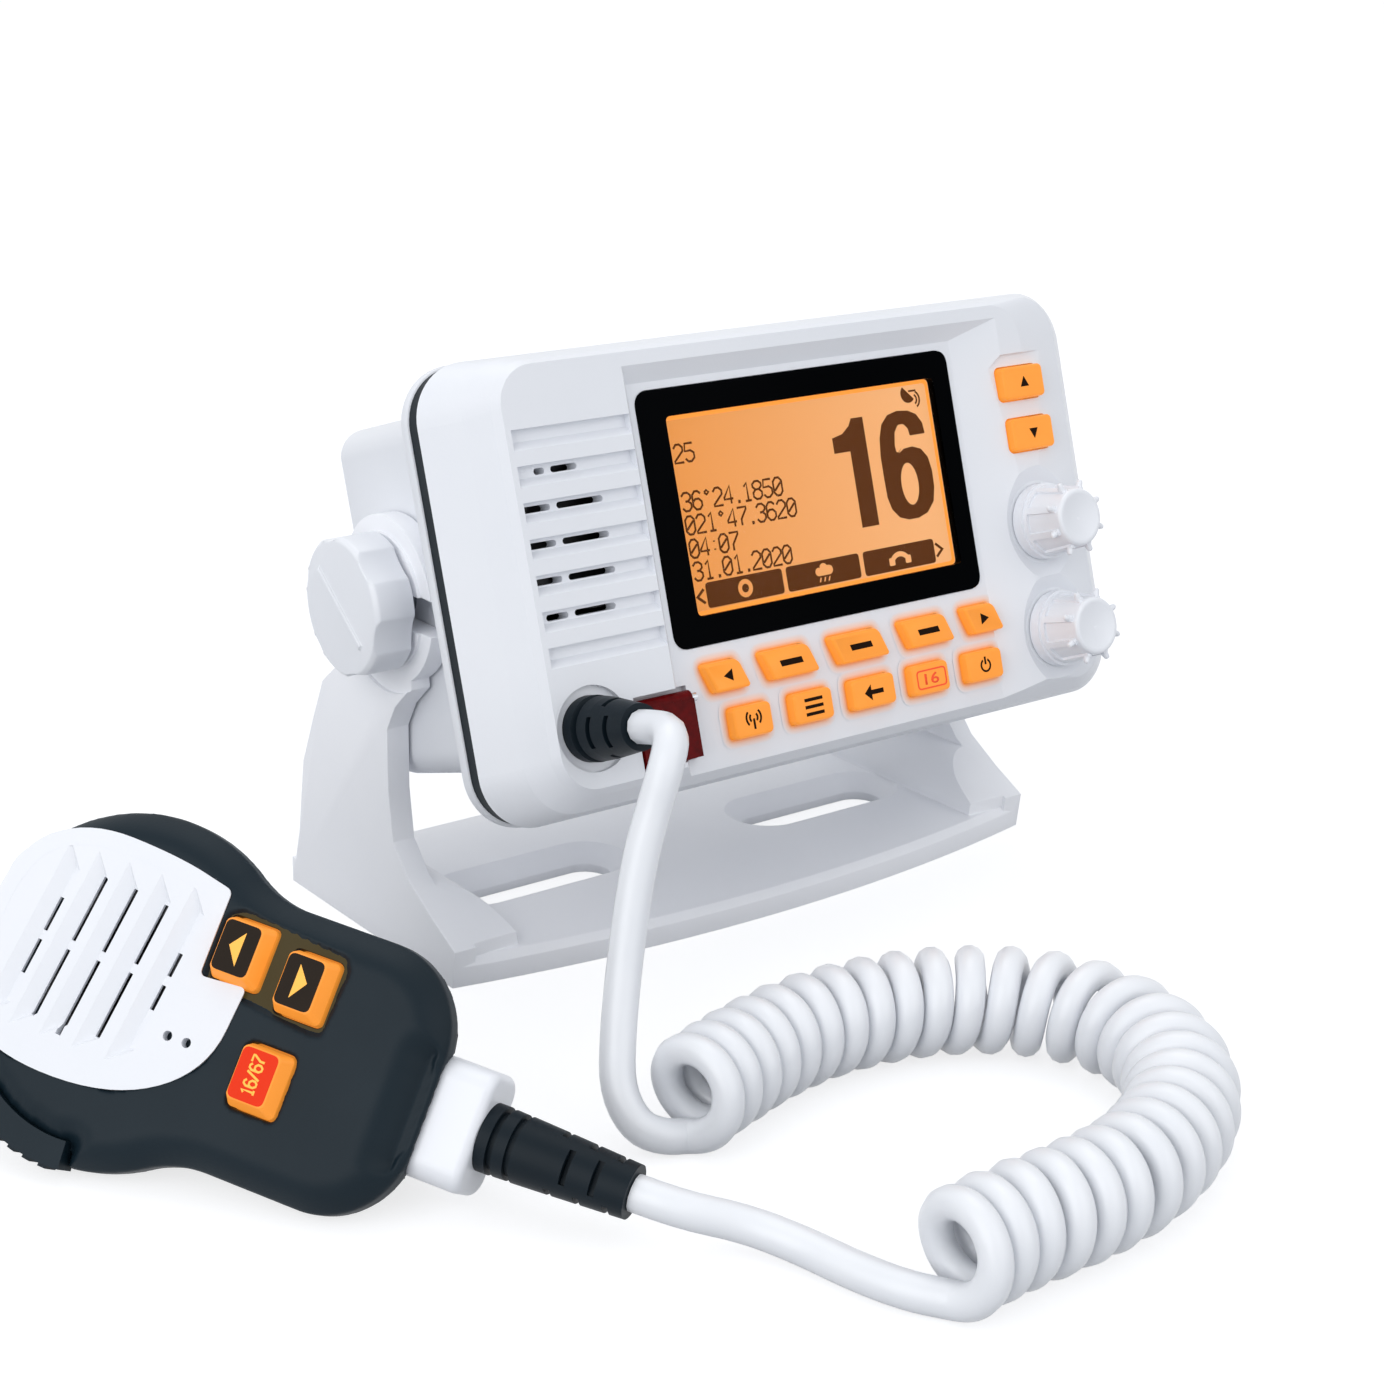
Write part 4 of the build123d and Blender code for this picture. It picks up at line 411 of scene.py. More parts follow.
# square lamps, their places and sizes in metres, all aimed at one point
lampAim = (-0.04, -0.08, 0.05)
lamps = {
    "frontLamp": {"place": (0.35, -1.35, 0.75), "size": 1.3, "watts": 4.6},
    "leftLamp": {"place": (-1.25, -0.45, 0.6), "size": 1.2, "watts": 8.3},
    "topLamp": {"place": (0.1, 0.35, 1.5), "size": 1.0, "watts": 4.0},
}
worldLight = {"colour": "f4f6f9", "strength": 0.73}
floorLook = {"size": 40.0, "colour": "a4a6aa", "rough": 0.8, "specular": 0.1, "lift": 0.74}


def addLamps():
    for name, lamp in lamps.items():
        light = bpy.data.lights.new(name, "AREA")
        light.size = lamp["size"]
        light.energy = lamp["watts"]
        piece = newPiece(name, light)
        aim = Vector(lampAim) - Vector(lamp["place"])
        turned = aim.to_track_quat("-Z", "Y").to_matrix().to_4x4()
        piece.matrix_world = Matrix.Translation(lamp["place"]) @ turned


def seenDirectly(holder):
    # 1 for what the camera, mirrors and glass see, 0 for the light that falls on things
    rays = addNode(holder, "ShaderNodeLightPath").outputs
    first = addNode(holder, "ShaderNodeMath", {"operation": "MAXIMUM"},
                    {0: rays["Is Camera Ray"], 1: rays["Is Glossy Ray"]})
    second = addNode(holder, "ShaderNodeMath", {"operation": "MAXIMUM"},
                     {0: first.outputs[0], 1: rays["Is Transmission Ray"]})
    return second.outputs[0]


def addWorld():
    world = bpy.data.worlds.new("studio")
    world.use_nodes = True
    bpy.context.scene.world = world
    world.node_tree.nodes.clear()
    white = addNode(world, "ShaderNodeBackground", {"Color": (1, 1, 1, 1), "Strength": 1.0})
    soft = addNode(world, "ShaderNodeBackground",
                   {"Color": linear(worldLight["colour"]), "Strength": worldLight["strength"]})
    both = addNode(world, "ShaderNodeMixShader", None,
                   {"Fac": seenDirectly(world), 1: soft.outputs[0], 2: white.outputs[0]})
    addNode(world, "ShaderNodeOutputWorld", None, {"Surface": both.outputs[0]})


def addFloor():
    # a pale laminate that the camera sees almost white, with the object's soft shadow on it
    bpy.ops.object.select_all(action="DESELECT")
    bpy.ops.mesh.primitive_plane_add(size=floorLook["size"], location=(0, 0, 0))
    floor = bpy.context.object
    floor.name = "studioFloor"
    paper = bpy.data.materials.new("matteLaminate")
    paper.use_nodes = True
    shader = paper.node_tree.nodes["Principled BSDF"]
    shader.inputs["Base Color"].default_value = linear(floorLook["colour"])
    shader.inputs["Roughness"].default_value = floorLook["rough"]
    shader.inputs["Specular IOR Level"].default_value = floorLook["specular"]
    scaled = addNode(paper, "ShaderNodeMath", {"operation": "MULTIPLY", 1: floorLook["lift"]},
                     {0: seenDirectly(paper)})
    lift = addNode(paper, "ShaderNodeEmission", {"Color": (1, 1, 1, 1)}, {"Strength": scaled.outputs[0]})
    total = addNode(paper, "ShaderNodeAddShader", None, {0: shader.outputs[0], 1: lift.outputs[0]})
    paper.node_tree.links.new(total.outputs[0], paper.node_tree.nodes["Material Output"].inputs["Surface"])
    floor.data.materials.append(paper)


addLamps()
addWorld()
addFloor()
bpy.context.scene.view_settings.view_transform = "Standard"
print("camera, lamps and floor are in place")

# the cord: its straight ends have the full diameter, its turns a thinner one, and they lie "turnGap" apart
cordSizes = {"diameter": 6.8, "turnDiameter": 6.0, "turnRadius": 8.0, "turnGap": 0.1, "pointsPerTurn": 16,
             "roundness": 4, "taper": 5, "axisSteps": 24, "sharpestBend": 60}
coilAxisHeight = 11.1
coilRoute = (
    (-83.0, -113.0), (-62.0, -105.4), (-40.0, -102.8), (-18.0, -107.6), (-1.0, -119.5), (6.6, -137.0),
    (1.5, -156.0), (-13.0, -170.5), (-34.0, -179.2), (-54.0, -180.2), (-67.0, -179.2), (-78.9, -180.6),
)
# where the lead leaves the boot, on the radio's face
leadExit = (-65.0, -30.9, 62.3)
leadStraightEnd = (-65.0, -30.9, 67.5)
dropRoute = (
    (-67.5, -87.5, 71.0), (-71.5, -90.5, 65.5), (-74.0, -90.5, 58.5), (-77.5, -91.5, 50.5),
    (-81.0, -93.5, 40.5), (-84.6, -96.2, 29.5), (-88.0, -99.5, 20.0), (-91.0, -103.5, 11.5),
    (-90.0, -108.5, 5.5), (-85.8, -111.6, 3.6),
)
# the lead meets the first turn at its bottom
firstTurnPoint = 4
tailRoute = (
    (-83.2, -175.4, 3.5), (-86.4, -165.8, 3.5), (-88.8, -154.5, 3.7), (-94.2, -145.4, 5.4),
)
# on the microphone, outer end first
micLead = ((-1.5, -46.0, -12.5), (-1.5, -37.5, -12.5))


def routeCurve(name, points, thickness=()):
    # an open NURBS line through the route, its points given in metres
    curve = bpy.data.curves.new(name, "CURVE")
    curve.dimensions = "3D"
    curve.resolution_u = 4
    spline = curve.splines.new("NURBS")
    spline.points.add(len(points) - 1)
    for point, place in zip(spline.points, points):
        point.co = (*place, 1)
    for point, share in zip(spline.points, thickness):
        point.radius = share
    spline.order_u = 3
    spline.use_endpoint_u = True
    piece = newPiece(name, curve)
    bpy.context.view_layer.update()
    return piece


def readLine(piece):
    mesh = bpy.data.meshes.new_from_object(piece)
    line = [vertex.co.copy() for vertex in mesh.vertices]
    bpy.data.meshes.remove(mesh)
    return line


def lineLengths(line):
    lengths = [0.0]
    for before, after in zip(line, line[1:]):
        lengths.append(lengths[-1] + (after - before).length)
    return lengths


def helixPoints():
    # the coil's turns, wound left-handed on its axis, close together on the inside of its bend
    axisCurve = routeCurve("coilAxis", [(x * mm, y * mm, coilAxisHeight * mm) for x, y in coilRoute])
    axisCurve.data.resolution_u = cordSizes["axisSteps"]
    axis = readLine(axisCurve)
    bpy.data.objects.remove(axisCurve)
    lengths = lineLengths(axis)
    radius = cordSizes["turnRadius"] * mm
    phases = [0.0]
    last = len(axis) - 1
    headings = [(axis[min(index + 1, last)] - axis[max(index - 1, 0)]).normalized()
                for index in range(last + 1)]
    for index in range(1, last + 1):
        step = lengths[index] - lengths[index - 1]
        bend = headings[index].angle(headings[index - 1]) / step
        pitch = cordSizes["turnDiameter"] + cordSizes["turnGap"]
        pitch *= mm / (1 - radius * min(bend, cordSizes["sharpestBend"]))
        phases.append(phases[-1] + 2 * math.pi * step / pitch)
    turns = math.floor((phases[-1] - math.pi / 2) / (2 * math.pi))
    wound = math.pi / 2 + 2 * math.pi * turns
    phases = [phase * wound / phases[-1] for phase in phases]
    count = round(wound / (2 * math.pi) * cordSizes["pointsPerTurn"])
    points = []
    index = 0
    for step in range(count + 1):
        phase = wound * step / count
        while index < len(phases) - 2 and phases[index + 1] < phase:
            index += 1
        share = (phase - phases[index]) / (phases[index + 1] - phases[index])
        middle = axis[index].lerp(axis[index + 1], share)
        heading = headings[index].lerp(headings[index + 1], share).normalized()
        upwards = Vector((0, 0, 1))
        spoke = upwards.cross(heading) * math.cos(phase) - upwards * math.sin(phase)
        points.append(middle + spoke * radius)
    print("coil turns:", turns)
    return points


def addCord():
    points = [radioFace @ (Vector(place) * mm) for place in (leadExit, leadStraightEnd)]
    points += [Vector(place) * mm for place in dropRoute]
    beforeTurns = len(points)
    points += helixPoints()[firstTurnPoint:]
    afterTurns = len(points)
    points += [Vector(place) * mm for place in tailRoute]
    points += [micFront @ (Vector(place) * mm) for place in micLead]
    # the jacket thins over a few points where the turns start, and thickens again where they end
    drawn = cordSizes["turnDiameter"] / cordSizes["diameter"]
    taper = cordSizes["taper"]
    inside = [max(min(index - beforeTurns, afterTurns - 1 - index, taper), 0) for index in range(len(points))]
    thickness = [1 + (drawn - 1) * count / taper for count in inside]
    cord = routeCurve("coiledCord", points, thickness)
    line = readLine(cord)
    cord = thickened(cord, cordSizes["diameter"] / 2, cordSizes["roundness"])
    bpy.ops.object.shade_smooth()
    dress(cord, "polyurethane")
    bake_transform(cord)
    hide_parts("cord_drop", "cord_coil", "cord_tail")
    print("cord length in metres:", round(lineLengths(line)[-1], 3))


addCord()

# a mould leaves every corner slightly round, so these parts show as copies with softened edges
softEdges = {
    "bracket": {"copy": "bracketMoulding", "width": 0.6, "clamp": True, "slot": "white_plastic"},
    "rear_housing": {"copy": "housingMoulding", "width": 0.6, "slot": "white_plastic"},
    "mic_rear_shell": {"copy": "micRearMoulding", "width": 0.7, "slot": "slate_plastic"},
    "mic_cord_block": {"copy": "cordBlockMoulding", "width": 0.6, "slot": "white_plastic"},
    "clamp_knob_left": {"copy": "clampKnobLeftMoulding", "width": 0.35, "slot": "white_plastic", "turn": 90},
    "clamp_knob_right": {"copy": "clampKnobRightMoulding", "width": 0.35, "slot": "white_plastic"},
    "heat_sink": {"copy": "heatSinkCasting", "width": 0.35, "slot": "cast_aluminium"},
}
for names, start, copyStart, width in ((radioKeys, "key_", "siliconeKey_", 0.55),
                                       (micKeyNames, "mic_key_", "micSiliconeKey_", 0.5)):
    for name in names:
        softEdges[name] = {"copy": name.replace(start, copyStart), "width": width, "clamp": True,
                           "slot": "key_rubber"}
# the distance within which points are one in millimetres, and in degrees what counts as flat, as an edge
# to soften and as a corner to shade
softening = {"merge": 0.004, "flat": 0.7, "edge": 28, "corner": 32}
bodyOfNode = {node: body for body, nodes in frame["record"]["behaviour"]["bodies"].items() for node in nodes}
softened = {}


def mergedCopy(nodeName, copyName, flat=None):
    # a part's mesh is loose triangles, so its copy is merged first, and its flats made whole faces if asked
    piece = newPiece(copyName, frame["nodes"][nodeName].data.copy())
    piece.data.name = copyName
    pick(piece)
    bpy.ops.object.mode_set(mode="EDIT")
    bpy.ops.mesh.select_mode(type="VERT")
    bpy.ops.mesh.select_all(action="SELECT")
    bpy.ops.mesh.remove_doubles(threshold=softening["merge"] * mm)
    if flat:
        bpy.ops.mesh.dissolve_limited(angle_limit=math.radians(flat))
    bpy.ops.object.mode_set(mode="OBJECT")
    softened[nodeName] = piece
    return piece


def softenedCopy(nodeName, look):
    piece = mergedCopy(nodeName, look["copy"], softening["flat"])
    bevelled(piece, look["width"], softening["edge"], look.get("clamp", False))
    bpy.ops.object.shade_smooth_by_angle(angle=math.radians(softening["corner"]))
    if "turn" in look:
        # the left knob's cross ridge leans the other way
        turned = Matrix.Translation(tiltAxis) @ Matrix.Rotation(math.radians(look["turn"]), 4, "X")
        piece.data.transform(turned @ Matrix.Translation(-tiltAxis))
    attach(piece, bodyOfNode[nodeName])
    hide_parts(nodeName)
    print("softened", nodeName, len(piece.data.polygons))


for nodeName, look in softEdges.items():
    softenedCopy(nodeName, look)

# the microphone's front is crowned: it falls away by "drop" to its rim in one curve, "band" millimetres wide;
# the rim is read off the wall under it, which faces away from the line "core"
micCrown = {"voxel": 0.5, "band": 6.5, "drop": 4.0, "wallTop": -4.4, "wallFoot": -7.6, "core": (20.0, 63.0),
            "smoothing": 5, "evenness": 0.5}


def addMicCrown():
    piece = mergedCopy("mic_front_shell", "micFrontMoulding")
    shell = piece.modifiers.new("shell", "REMESH")
    shell.mode = "VOXEL"
    shell.voxel_size = micCrown["voxel"] * mm
    bpy.ops.object.modifier_apply(modifier=shell.name)
    piece.data.transform(micFront.inverted())
    low, high = micCrown["wallFoot"] * mm, micCrown["wallTop"] * mm
    coreFoot, coreTop = (end * mm for end in micCrown["core"])
    wall = []
    for vertex in piece.data.vertices:
        core = Vector((0, min(max(vertex.co.y, coreFoot), coreTop), vertex.co.z))
        if low < vertex.co.z < high and vertex.normal.dot(vertex.co - core) > 0:
            wall.append(vertex.co.copy())
    tree = KDTree(len(wall))
    for index, place in enumerate(wall):
        tree.insert((place.x, place.y, 0), index)
    tree.balance()
    band, drop = micCrown["band"] * mm, micCrown["drop"] * mm
    for vertex in piece.data.vertices:
        if vertex.co.z < -drop:
            continue
        inset = tree.find((vertex.co.x, vertex.co.y, 0))[2]
        if inset < band:
            vertex.co.z = min(vertex.co.z, -drop * (1 - inset / band) ** 2)
    piece.data.transform(micFront)
    even = piece.modifiers.new("even", "SMOOTH")
    even.factor = micCrown["evenness"]
    even.iterations = micCrown["smoothing"]
    bpy.ops.object.modifier_apply(modifier=even.name)
    bpy.ops.object.shade_smooth()
    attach(piece, "base")
    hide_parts("mic_front_shell")
    print("crowned the microphone's front:", len(piece.data.polygons), "faces")


addMicCrown()

# which part has which finish
partFinishes = {
    "grainedAsaPaintedPaler": ("bracket",),
    "mouldedAsa": ("front_case", "rear_housing", "mic_speaker_panel"),
    "polishedAsa": ("clamp_knob_right", "clamp_knob_left", "squelch_knob", "volume_knob", "mic_cord_block"),
    "texturedPolycarbonate": ("mic_front_shell", "mic_rear_shell", "mic_talk_bar"),
    "nitrileRubber": ("case_gasket", "gland_boot", "mic_strain_relief"),
    "paintedCasting": ("heat_sink",),
    "stainlessSteel": ("clamp_stud_right", "clamp_stud_left", "case_screws", "mic_screws", "mic_hanger_stud",
                       "distress_hinge_pin", "squelch_encoder", "volume_encoder"),
    "nickelPlate": ("antenna_socket",),
    "blackNylon": ("power_grommet", "accessory_socket", "speaker", "mic_speaker", "mic_element", "gland_nut"),
    "circuitBoard": ("main_board", "keypad_board", "mic_board"),
    "liquidCrystal": ("lcd_panel",),
    "litSilicone": radioKeys + micKeyNames,
    "redPolycarbonate": ("distress_cover",),
    "redSilicone": ("distress_button",),
}
finishOfPart = {name: finish for finish, names in partFinishes.items() for name in names}
for name, finish in finishOfPart.items():
    if name in softened:
        dress(softened[name], finish)
    for slot in frame["nodes"][name].material_slots:
        slot.material = materials[finish]
print("parts dressed:", len(finishOfPart))

# the display: left, right, bottom and top of its window, its lit field and the field inside the bright rim
displayLook = {
    "window": (-41.0, 42.7, -19.65, 32.85), "windowCorner": 3.1, "edge": 0.35, "edgeAngle": 60,
    "lit": (-34.3, 38.0, -13.7, 27.2), "litCorner": 1.2,
    "inRim": (-33.3, 37.2, -12.9, 26.4), "rimCorner": 0.9,
}
# foot and top of each layer, between the liquid crystal at 41.5 and the window's face at 43.7
displayLayers = {"mask": (41.7, 43.7), "pane": (43.1, 43.68), "rim": (41.51, 41.55), "ink": (41.52, 41.59),
                 "signs": (41.6, 41.62)}


def addDisplay():
    outer = roundedOutline(rectangle(*displayLook["window"]), displayLook["windowCorner"], 8)
    hole = roundedOutline(rectangle(*displayLook["lit"]), displayLook["litCorner"], 4)
    mask = flatPiece("displayMask", [outer, hole], *displayLayers["mask"], radioFace)
    bevelled(mask, displayLook["edge"], displayLook["edgeAngle"])
    dress(mask, "blackAcrylic")
    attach(mask, "radio")
    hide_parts("display_window")
    rimInner = roundedOutline(rectangle(*displayLook["inRim"]), displayLook["rimCorner"], 4)
    rim = flatPiece("displayRim", [hole, rimInner], *displayLayers["rim"], radioFace)
    dress(rim, "crystalRim")
    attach(rim, "radio")
    pane = flatPiece("displayPane", [hole], *displayLayers["pane"], radioFace)
    dress(pane, "clearAcrylic")
    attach(pane, "radio")
    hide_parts("display_window")


# figures as a pen draws them, in a cell one wide and two tall
strokeFigures = {
    "0": [[(0.3, 0), (0, 0.4), (0, 1.6), (0.3, 2), (0.7, 2), (1, 1.6), (1, 0.4), (0.7, 0), (0.3, 0)],
          [(0.1, 0.55), (0.9, 1.45)]],
    "1": [[(0.2, 1.6), (0.55, 2), (0.55, 0)], [(0.2, 0), (0.9, 0)]],
    "2": [[(0, 1.6), (0.3, 2), (0.7, 2), (1, 1.65), (1, 1.25), (0, 0.2), (0, 0), (1, 0)]],
    "3": [[(0, 1.65), (0.3, 2), (0.7, 2), (1, 1.7), (1, 1.35), (0.7, 1.05), (0.4, 1.05)],
          [(0.7, 1.05), (1, 0.75), (1, 0.35), (0.7, 0), (0.3, 0), (0, 0.35)]],
    "4": [[(0.75, 0), (0.75, 2), (0, 0.75), (0, 0.55), (1, 0.55)]],
    "5": [[(0.95, 2), (0.1, 2), (0, 1.15), (0.65, 1.2), (1, 0.9), (1, 0.35), (0.65, 0), (0.3, 0), (0, 0.35)]],
    "6": [[(0.95, 1.7), (0.65, 2), (0.3, 2), (0, 1.6), (0, 0.4), (0.3, 0), (0.7, 0), (1, 0.35), (1, 0.8),
           (0.7, 1.15), (0.3, 1.15), (0, 0.85)]],
    "7": [[(0, 2), (1, 2), (1, 1.75), (0.35, 0.7), (0.35, 0)]],
    "8": [[(0.3, 1.08), (0, 1.4), (0, 1.7), (0.3, 2), (0.7, 2), (1, 1.7), (1, 1.4), (0.7, 1.08),
           (0.3, 1.08), (0, 0.75), (0, 0.3), (0.3, 0), (0.7, 0), (1, 0.3), (1, 0.75), (0.7, 1.08)]],
    "°": [[(0.2, 1.7), (0.45, 1.95), (0.7, 1.7), (0.45, 1.45), (0.2, 1.7)]],
    ":": [[(0.4, 0.45), (0.4, 0.6)], [(0.4, 1.35), (0.4, 1.5)]],
    ".": [[(0.3, 0.0), (0.5, 0.0), (0.5, 0.15), (0.3, 0.15)]],
    "/": [[(0.0, -0.1), (0.95, 2.1)]],
}
# how much of its cell a narrow figure takes up, and how wide a figure is drawn in its cell
strokeSteps = {"°": 0.95, ":": 0.8, ".": 0.8}
strokeWidth = 0.82


def strokeText(name, words, start, cell, pen, low, high, place):
    # pen strokes with round ends; cell is half a figure's height and its width
    curve = bpy.data.curves.new(name, "CURVE")
    curve.dimensions = "3D"
    x, y = start
    half, wide = cell
    for figure in words:
        for stroke in strokeFigures[figure]:
            spline = curve.splines.new("POLY")
            spline.points.add(len(stroke) - 1)
            for point, (across, up) in zip(spline.points, stroke):
                point.co = ((x + across * wide * strokeWidth) * mm, (y + up * half) * mm, 0, 1)
        x += wide * strokeSteps.get(figure, 1.0)
    piece = thickened(newPiece(name, curve), pen / 2, 1)
    flattened = Matrix.Scale((high - low) / pen, 4, (0, 0, 1))
    piece.data.transform(Matrix.Translation((0, 0, (low + high) / 2 * mm)) @ flattened)
    settle(piece, place)
    return piece


# figures, left end and foot of each line on the display
inkLines = {
    "power": ("25", -32.2, 17.6),
    "latitude": ("36°24.1850", -32.2, 7.7), "longitude": ("021°47.3620", -32.2, 2.9),
    "clock": ("04:07", -32.2, -1.9), "date": ("31.01.2020", -32.2, -6.6),
}
inkCell = (1.86, 2.72)
inkPen = 0.5
channelOne = [(13.6, -2.2), (18.3, -2.2), (18.3, 21.2), (15.1, 21.2), (14.2, 19.7), (12.1, 18.2), (9.2, 17.6),
              (9.2, 14.3), (13.6, 14.3)]
channelSix = [
    (35.1, 15.6), (34.8, 18.0), (33.4, 20.0), (31.2, 21.0), (28.1, 21.3), (25.3, 20.7), (23.3, 18.9),
    (22.2, 16.0), (21.7, 12.1), (21.7, 7.1), (21.8, 3.2), (22.6, 0.5), (24.4, -1.5), (26.9, -2.3),
    (29.7, -2.3), (32.4, -1.5), (34.6, 0.7), (35.4, 3.8), (35.5, 7.4), (34.9, 10.4), (33.3, 12.4),
    (30.9, 13.2), (28.5, 13.0), (26.8, 12.1), (26.1, 11.3), (26.1, 14.1), (26.6, 16.8), (27.8, 18.3),
    (29.4, 18.3), (30.5, 17.2), (30.8, 15.6),
]
# the two ends of the six are sharper than its other corners; its hole is an oval with two half widths
channelSixCorners = [0.25] + [0.9] * (len(channelSix) - 2) + [0.25]
channelSixHole = {"middle": (28.7, 5.3), "half": (2.45, 4.6), "steps": 28}
# left and right ends of the three dark boxes, their foot and top, and the arrow tips beside them
softBoxes = {"sides": ((-29.9, -9.9), (-8.8, 11.2), (12.4, 32.6)), "bottom": -12.6, "top": -7.3,
             "corner": 0.8}
softBoxMiddle = (softBoxes["bottom"] + softBoxes["top"]) / 2
arrowTips = {"left": -32.7, "right": 35.3}
arrow = [(0, 0), (2, 1.65), (2.45, 1.25), (0.9, 0), (2.45, -1.25), (2, -1.65)]
# a dish with its feed, and the waves that leave it
dish = [[ringOutline(32.0, 24.6, 2.0, 14, 130, 320)], [rectangle(32.3, 34.4, 24.9, 25.3)]]
dish += [[bandOutline(33.2, 23.2, radius, radius - 0.4, 8, -60, 60)] for radius in (1.3, 2.1)]
# bright signs on the dark boxes, round the middle of each: a lifebuoy, a cloud with rain, a handset
boxSigns = (
    [[ringOutline(0, 0, 1.9), ringOutline(0, 0, 0.9, 24)]],
    [[ringOutline(-1.4, 0.3, 0.9, 10, 60, 270) + ringOutline(1.5, 0.4, 1.0, 10, -90, 80)
      + ringOutline(0, 0.9, 1.1, 10, 30, 150)]]
    + [[[(x - 0.35, -1.9), (x, -1.9), (x + 0.35, -1.0), (x, -1.0)]] for x in (-1.2, 0.0, 1.2)],
    [[bandOutline(0, -1.9, 3.2, 2.1, 14, 30, 150)]]
    + [[roundedOutline(rectangle(x - 0.8, x + 0.8, -1.5, 0.2), 0.3, 2)] for x in (-2.3, 2.3)],
)


def addDisplayInk():
    low, high = displayLayers["ink"]
    ink = [strokeText(name, words, (left, foot), inkCell, inkPen, low, high, radioFace)
           for name, (words, left, foot) in inkLines.items()]
    (x, y), (halfX, halfY) = channelSixHole["middle"], channelSixHole["half"]
    hole = [(x + px * halfX, y + py * halfY) for px, py in ringOutline(0, 0, 1.0, channelSixHole["steps"])]
    shapes = [[channelOne], [roundedOutline(channelSix, channelSixCorners, 3), hole]]
    for left, right in softBoxes["sides"]:
        box = rectangle(left, right, softBoxes["bottom"], softBoxes["top"])
        shapes.append([roundedOutline(box, softBoxes["corner"], 3)])
    ink += facePlates(shapes, 0, 0, low, high)
    ink += facePlates([[arrow]], arrowTips["left"], softBoxMiddle, low, high)
    ink += facePlates([[[(-x, y) for x, y in arrow]]], arrowTips["right"], softBoxMiddle, low, high)
    ink += facePlates(dish, 0, 0, low, high)
    piece = joined("displayInk", ink)
    dress(piece, "crystalInk")
    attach(piece, "radio")


def addDisplaySigns():
    signs = []
    for (left, right), shapes in zip(softBoxes["sides"], boxSigns):
        signs += facePlates(shapes, (left + right) / 2, softBoxMiddle, *displayLayers["signs"])
    piece = joined("displaySigns", signs)
    dress(piece, "liquidCrystal")
    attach(piece, "radio")


addDisplay()
addDisplayInk()
addDisplaySigns()
print("display is in place")

# the keys stand "rise" over their floor; the channel keys' floor is a little lower than the case's face
keyHeights = {"rise": 2.5, "channelFloor": faceHeight - 0.8, "signLow": -0.02, "signHigh": 0.05}
# middle and sign of each key, then half width, half height and lean of those that throw light on the case
keys = {
    "key_left": (-30.9, -26.45, "left", (4.45, 3.1, 1.25)),
    "key_right": (40.1, -26.45, "right", (4.45, 3.1, 1.25)),
    "key_soft_1": (-14.4, -26.45, "bar", (6.2, 3.1, 1.25)),
    "key_soft_2": (4.6, -26.45, "bar", (6.6, 3.1, 1.25)),
    "key_soft_3": (23.7, -26.45, "bar", (6.2, 3.1, 1.25)),
    "key_high_low": (-26.4, -36.6, "waves", (4.95, 3.25, 0)),
    "key_menu": (-10.4, -36.6, "list", (5.2, 3.25, 0)),
    "key_clear": (6.2, -36.6, "back", (5.9, 3.25, 0)),
    "key_sixteen": (22.4, -36.6, "sixteen", (5.2, 3.25, 0)),
    "key_power": (38.3, -36.6, "power", (5.2, 3.25, 0)),
    "key_up": (61.2, 23.3, "up", None),
    "key_down": (61.8, 11.8, "down", None),
}
# outlines round the middle of a key, one list for every plate
triangle = [(-1.25, -1.05), (1.25, -1.05), (0.0, 1.25)]
signShapes = {
    "up": [[triangle]],
    "left": [[[(-y, x) for x, y in triangle]]],
    "down": [[[(-x, -y) for x, y in triangle]]],
    "right": [[[(y, -x) for x, y in triangle]]],
    "bar": [[[(-2.7, -0.65), (3.1, -0.65), (2.7, 0.65), (-3.1, 0.65)]]],
    "list": [[rectangle(-2.4, 2.4, row - 0.35, row + 0.35)] for row in (-1.5, 0.0, 1.5)],
    "back": [[[(-2.8, 0), (-0.9, 1.7), (-0.9, 0.5), (2.4, 0.5), (2.4, -0.5), (-0.9, -0.5), (-0.9, -1.7)]]],
    "power": [[bandOutline(0, 0, 1.55, 1.1, 20, 120, 420)], [rectangle(-0.25, 0.25, 0.2, 1.9)]],
    "waves": [[rectangle(-0.25, 0.25, -1.8, 0.4)]]
    + [[bandOutline(0, 0.6, radius, radius - 0.45, 8, start, start + 90)]
       for radius in (1.2, 2.1) for start in (-45, 135)],
    "sixteen": [[roundedOutline(rectangle(-4.2, 4.2, -2.1, 2.1), 1.0, 4),
                 roundedOutline(rectangle(-3.85, 3.85, -1.75, 1.75), 0.7, 4)]],
}
# half width, half height and boldness of the figures in the frame of key sixteen
sixteenFigures = (2.0, 1.2, 0.01)


def addKeySigns():
    for name, (x, y, kind, shape) in keys.items():
        top = keyHeights["rise"] + (keyHeights["channelFloor"] if kind in ("up", "down") else basinHeight)
        low, high = top + keyHeights["signLow"], top + keyHeights["signHigh"]
        plates = facePlates(signShapes[kind], x, y, low, high)
        if kind == "sixteen":
            halfX, halfY, bold = sixteenFigures
            box = (x - halfX, x + halfX, y - halfY, y + halfY)
            plates.append(faceFigures("16", box, low, high, bold))
        sign = joined(name + "Sign", plates)
        dress(sign, "redInk" if kind == "sixteen" else "printedInk")
        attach(sign, name)


addKeySigns()
print("key signs are in place")

# the keys' orange light on the case round each key is painted, as a ring that tints the resin and glows
# faintly
# how far out each row of the ring lies and how bright it is there; the rest is height, light and colour
paintedGlowRing = {"rows": ((0.1, 1.0), (0.9, 0.4), (2.0, 0.0)), "corner": 1.0, "lift": 0.03, "step": 0.01,
            "strength": 0.1, "tint": 0.95, "colour": "e89416", "glow": "ff9226"}


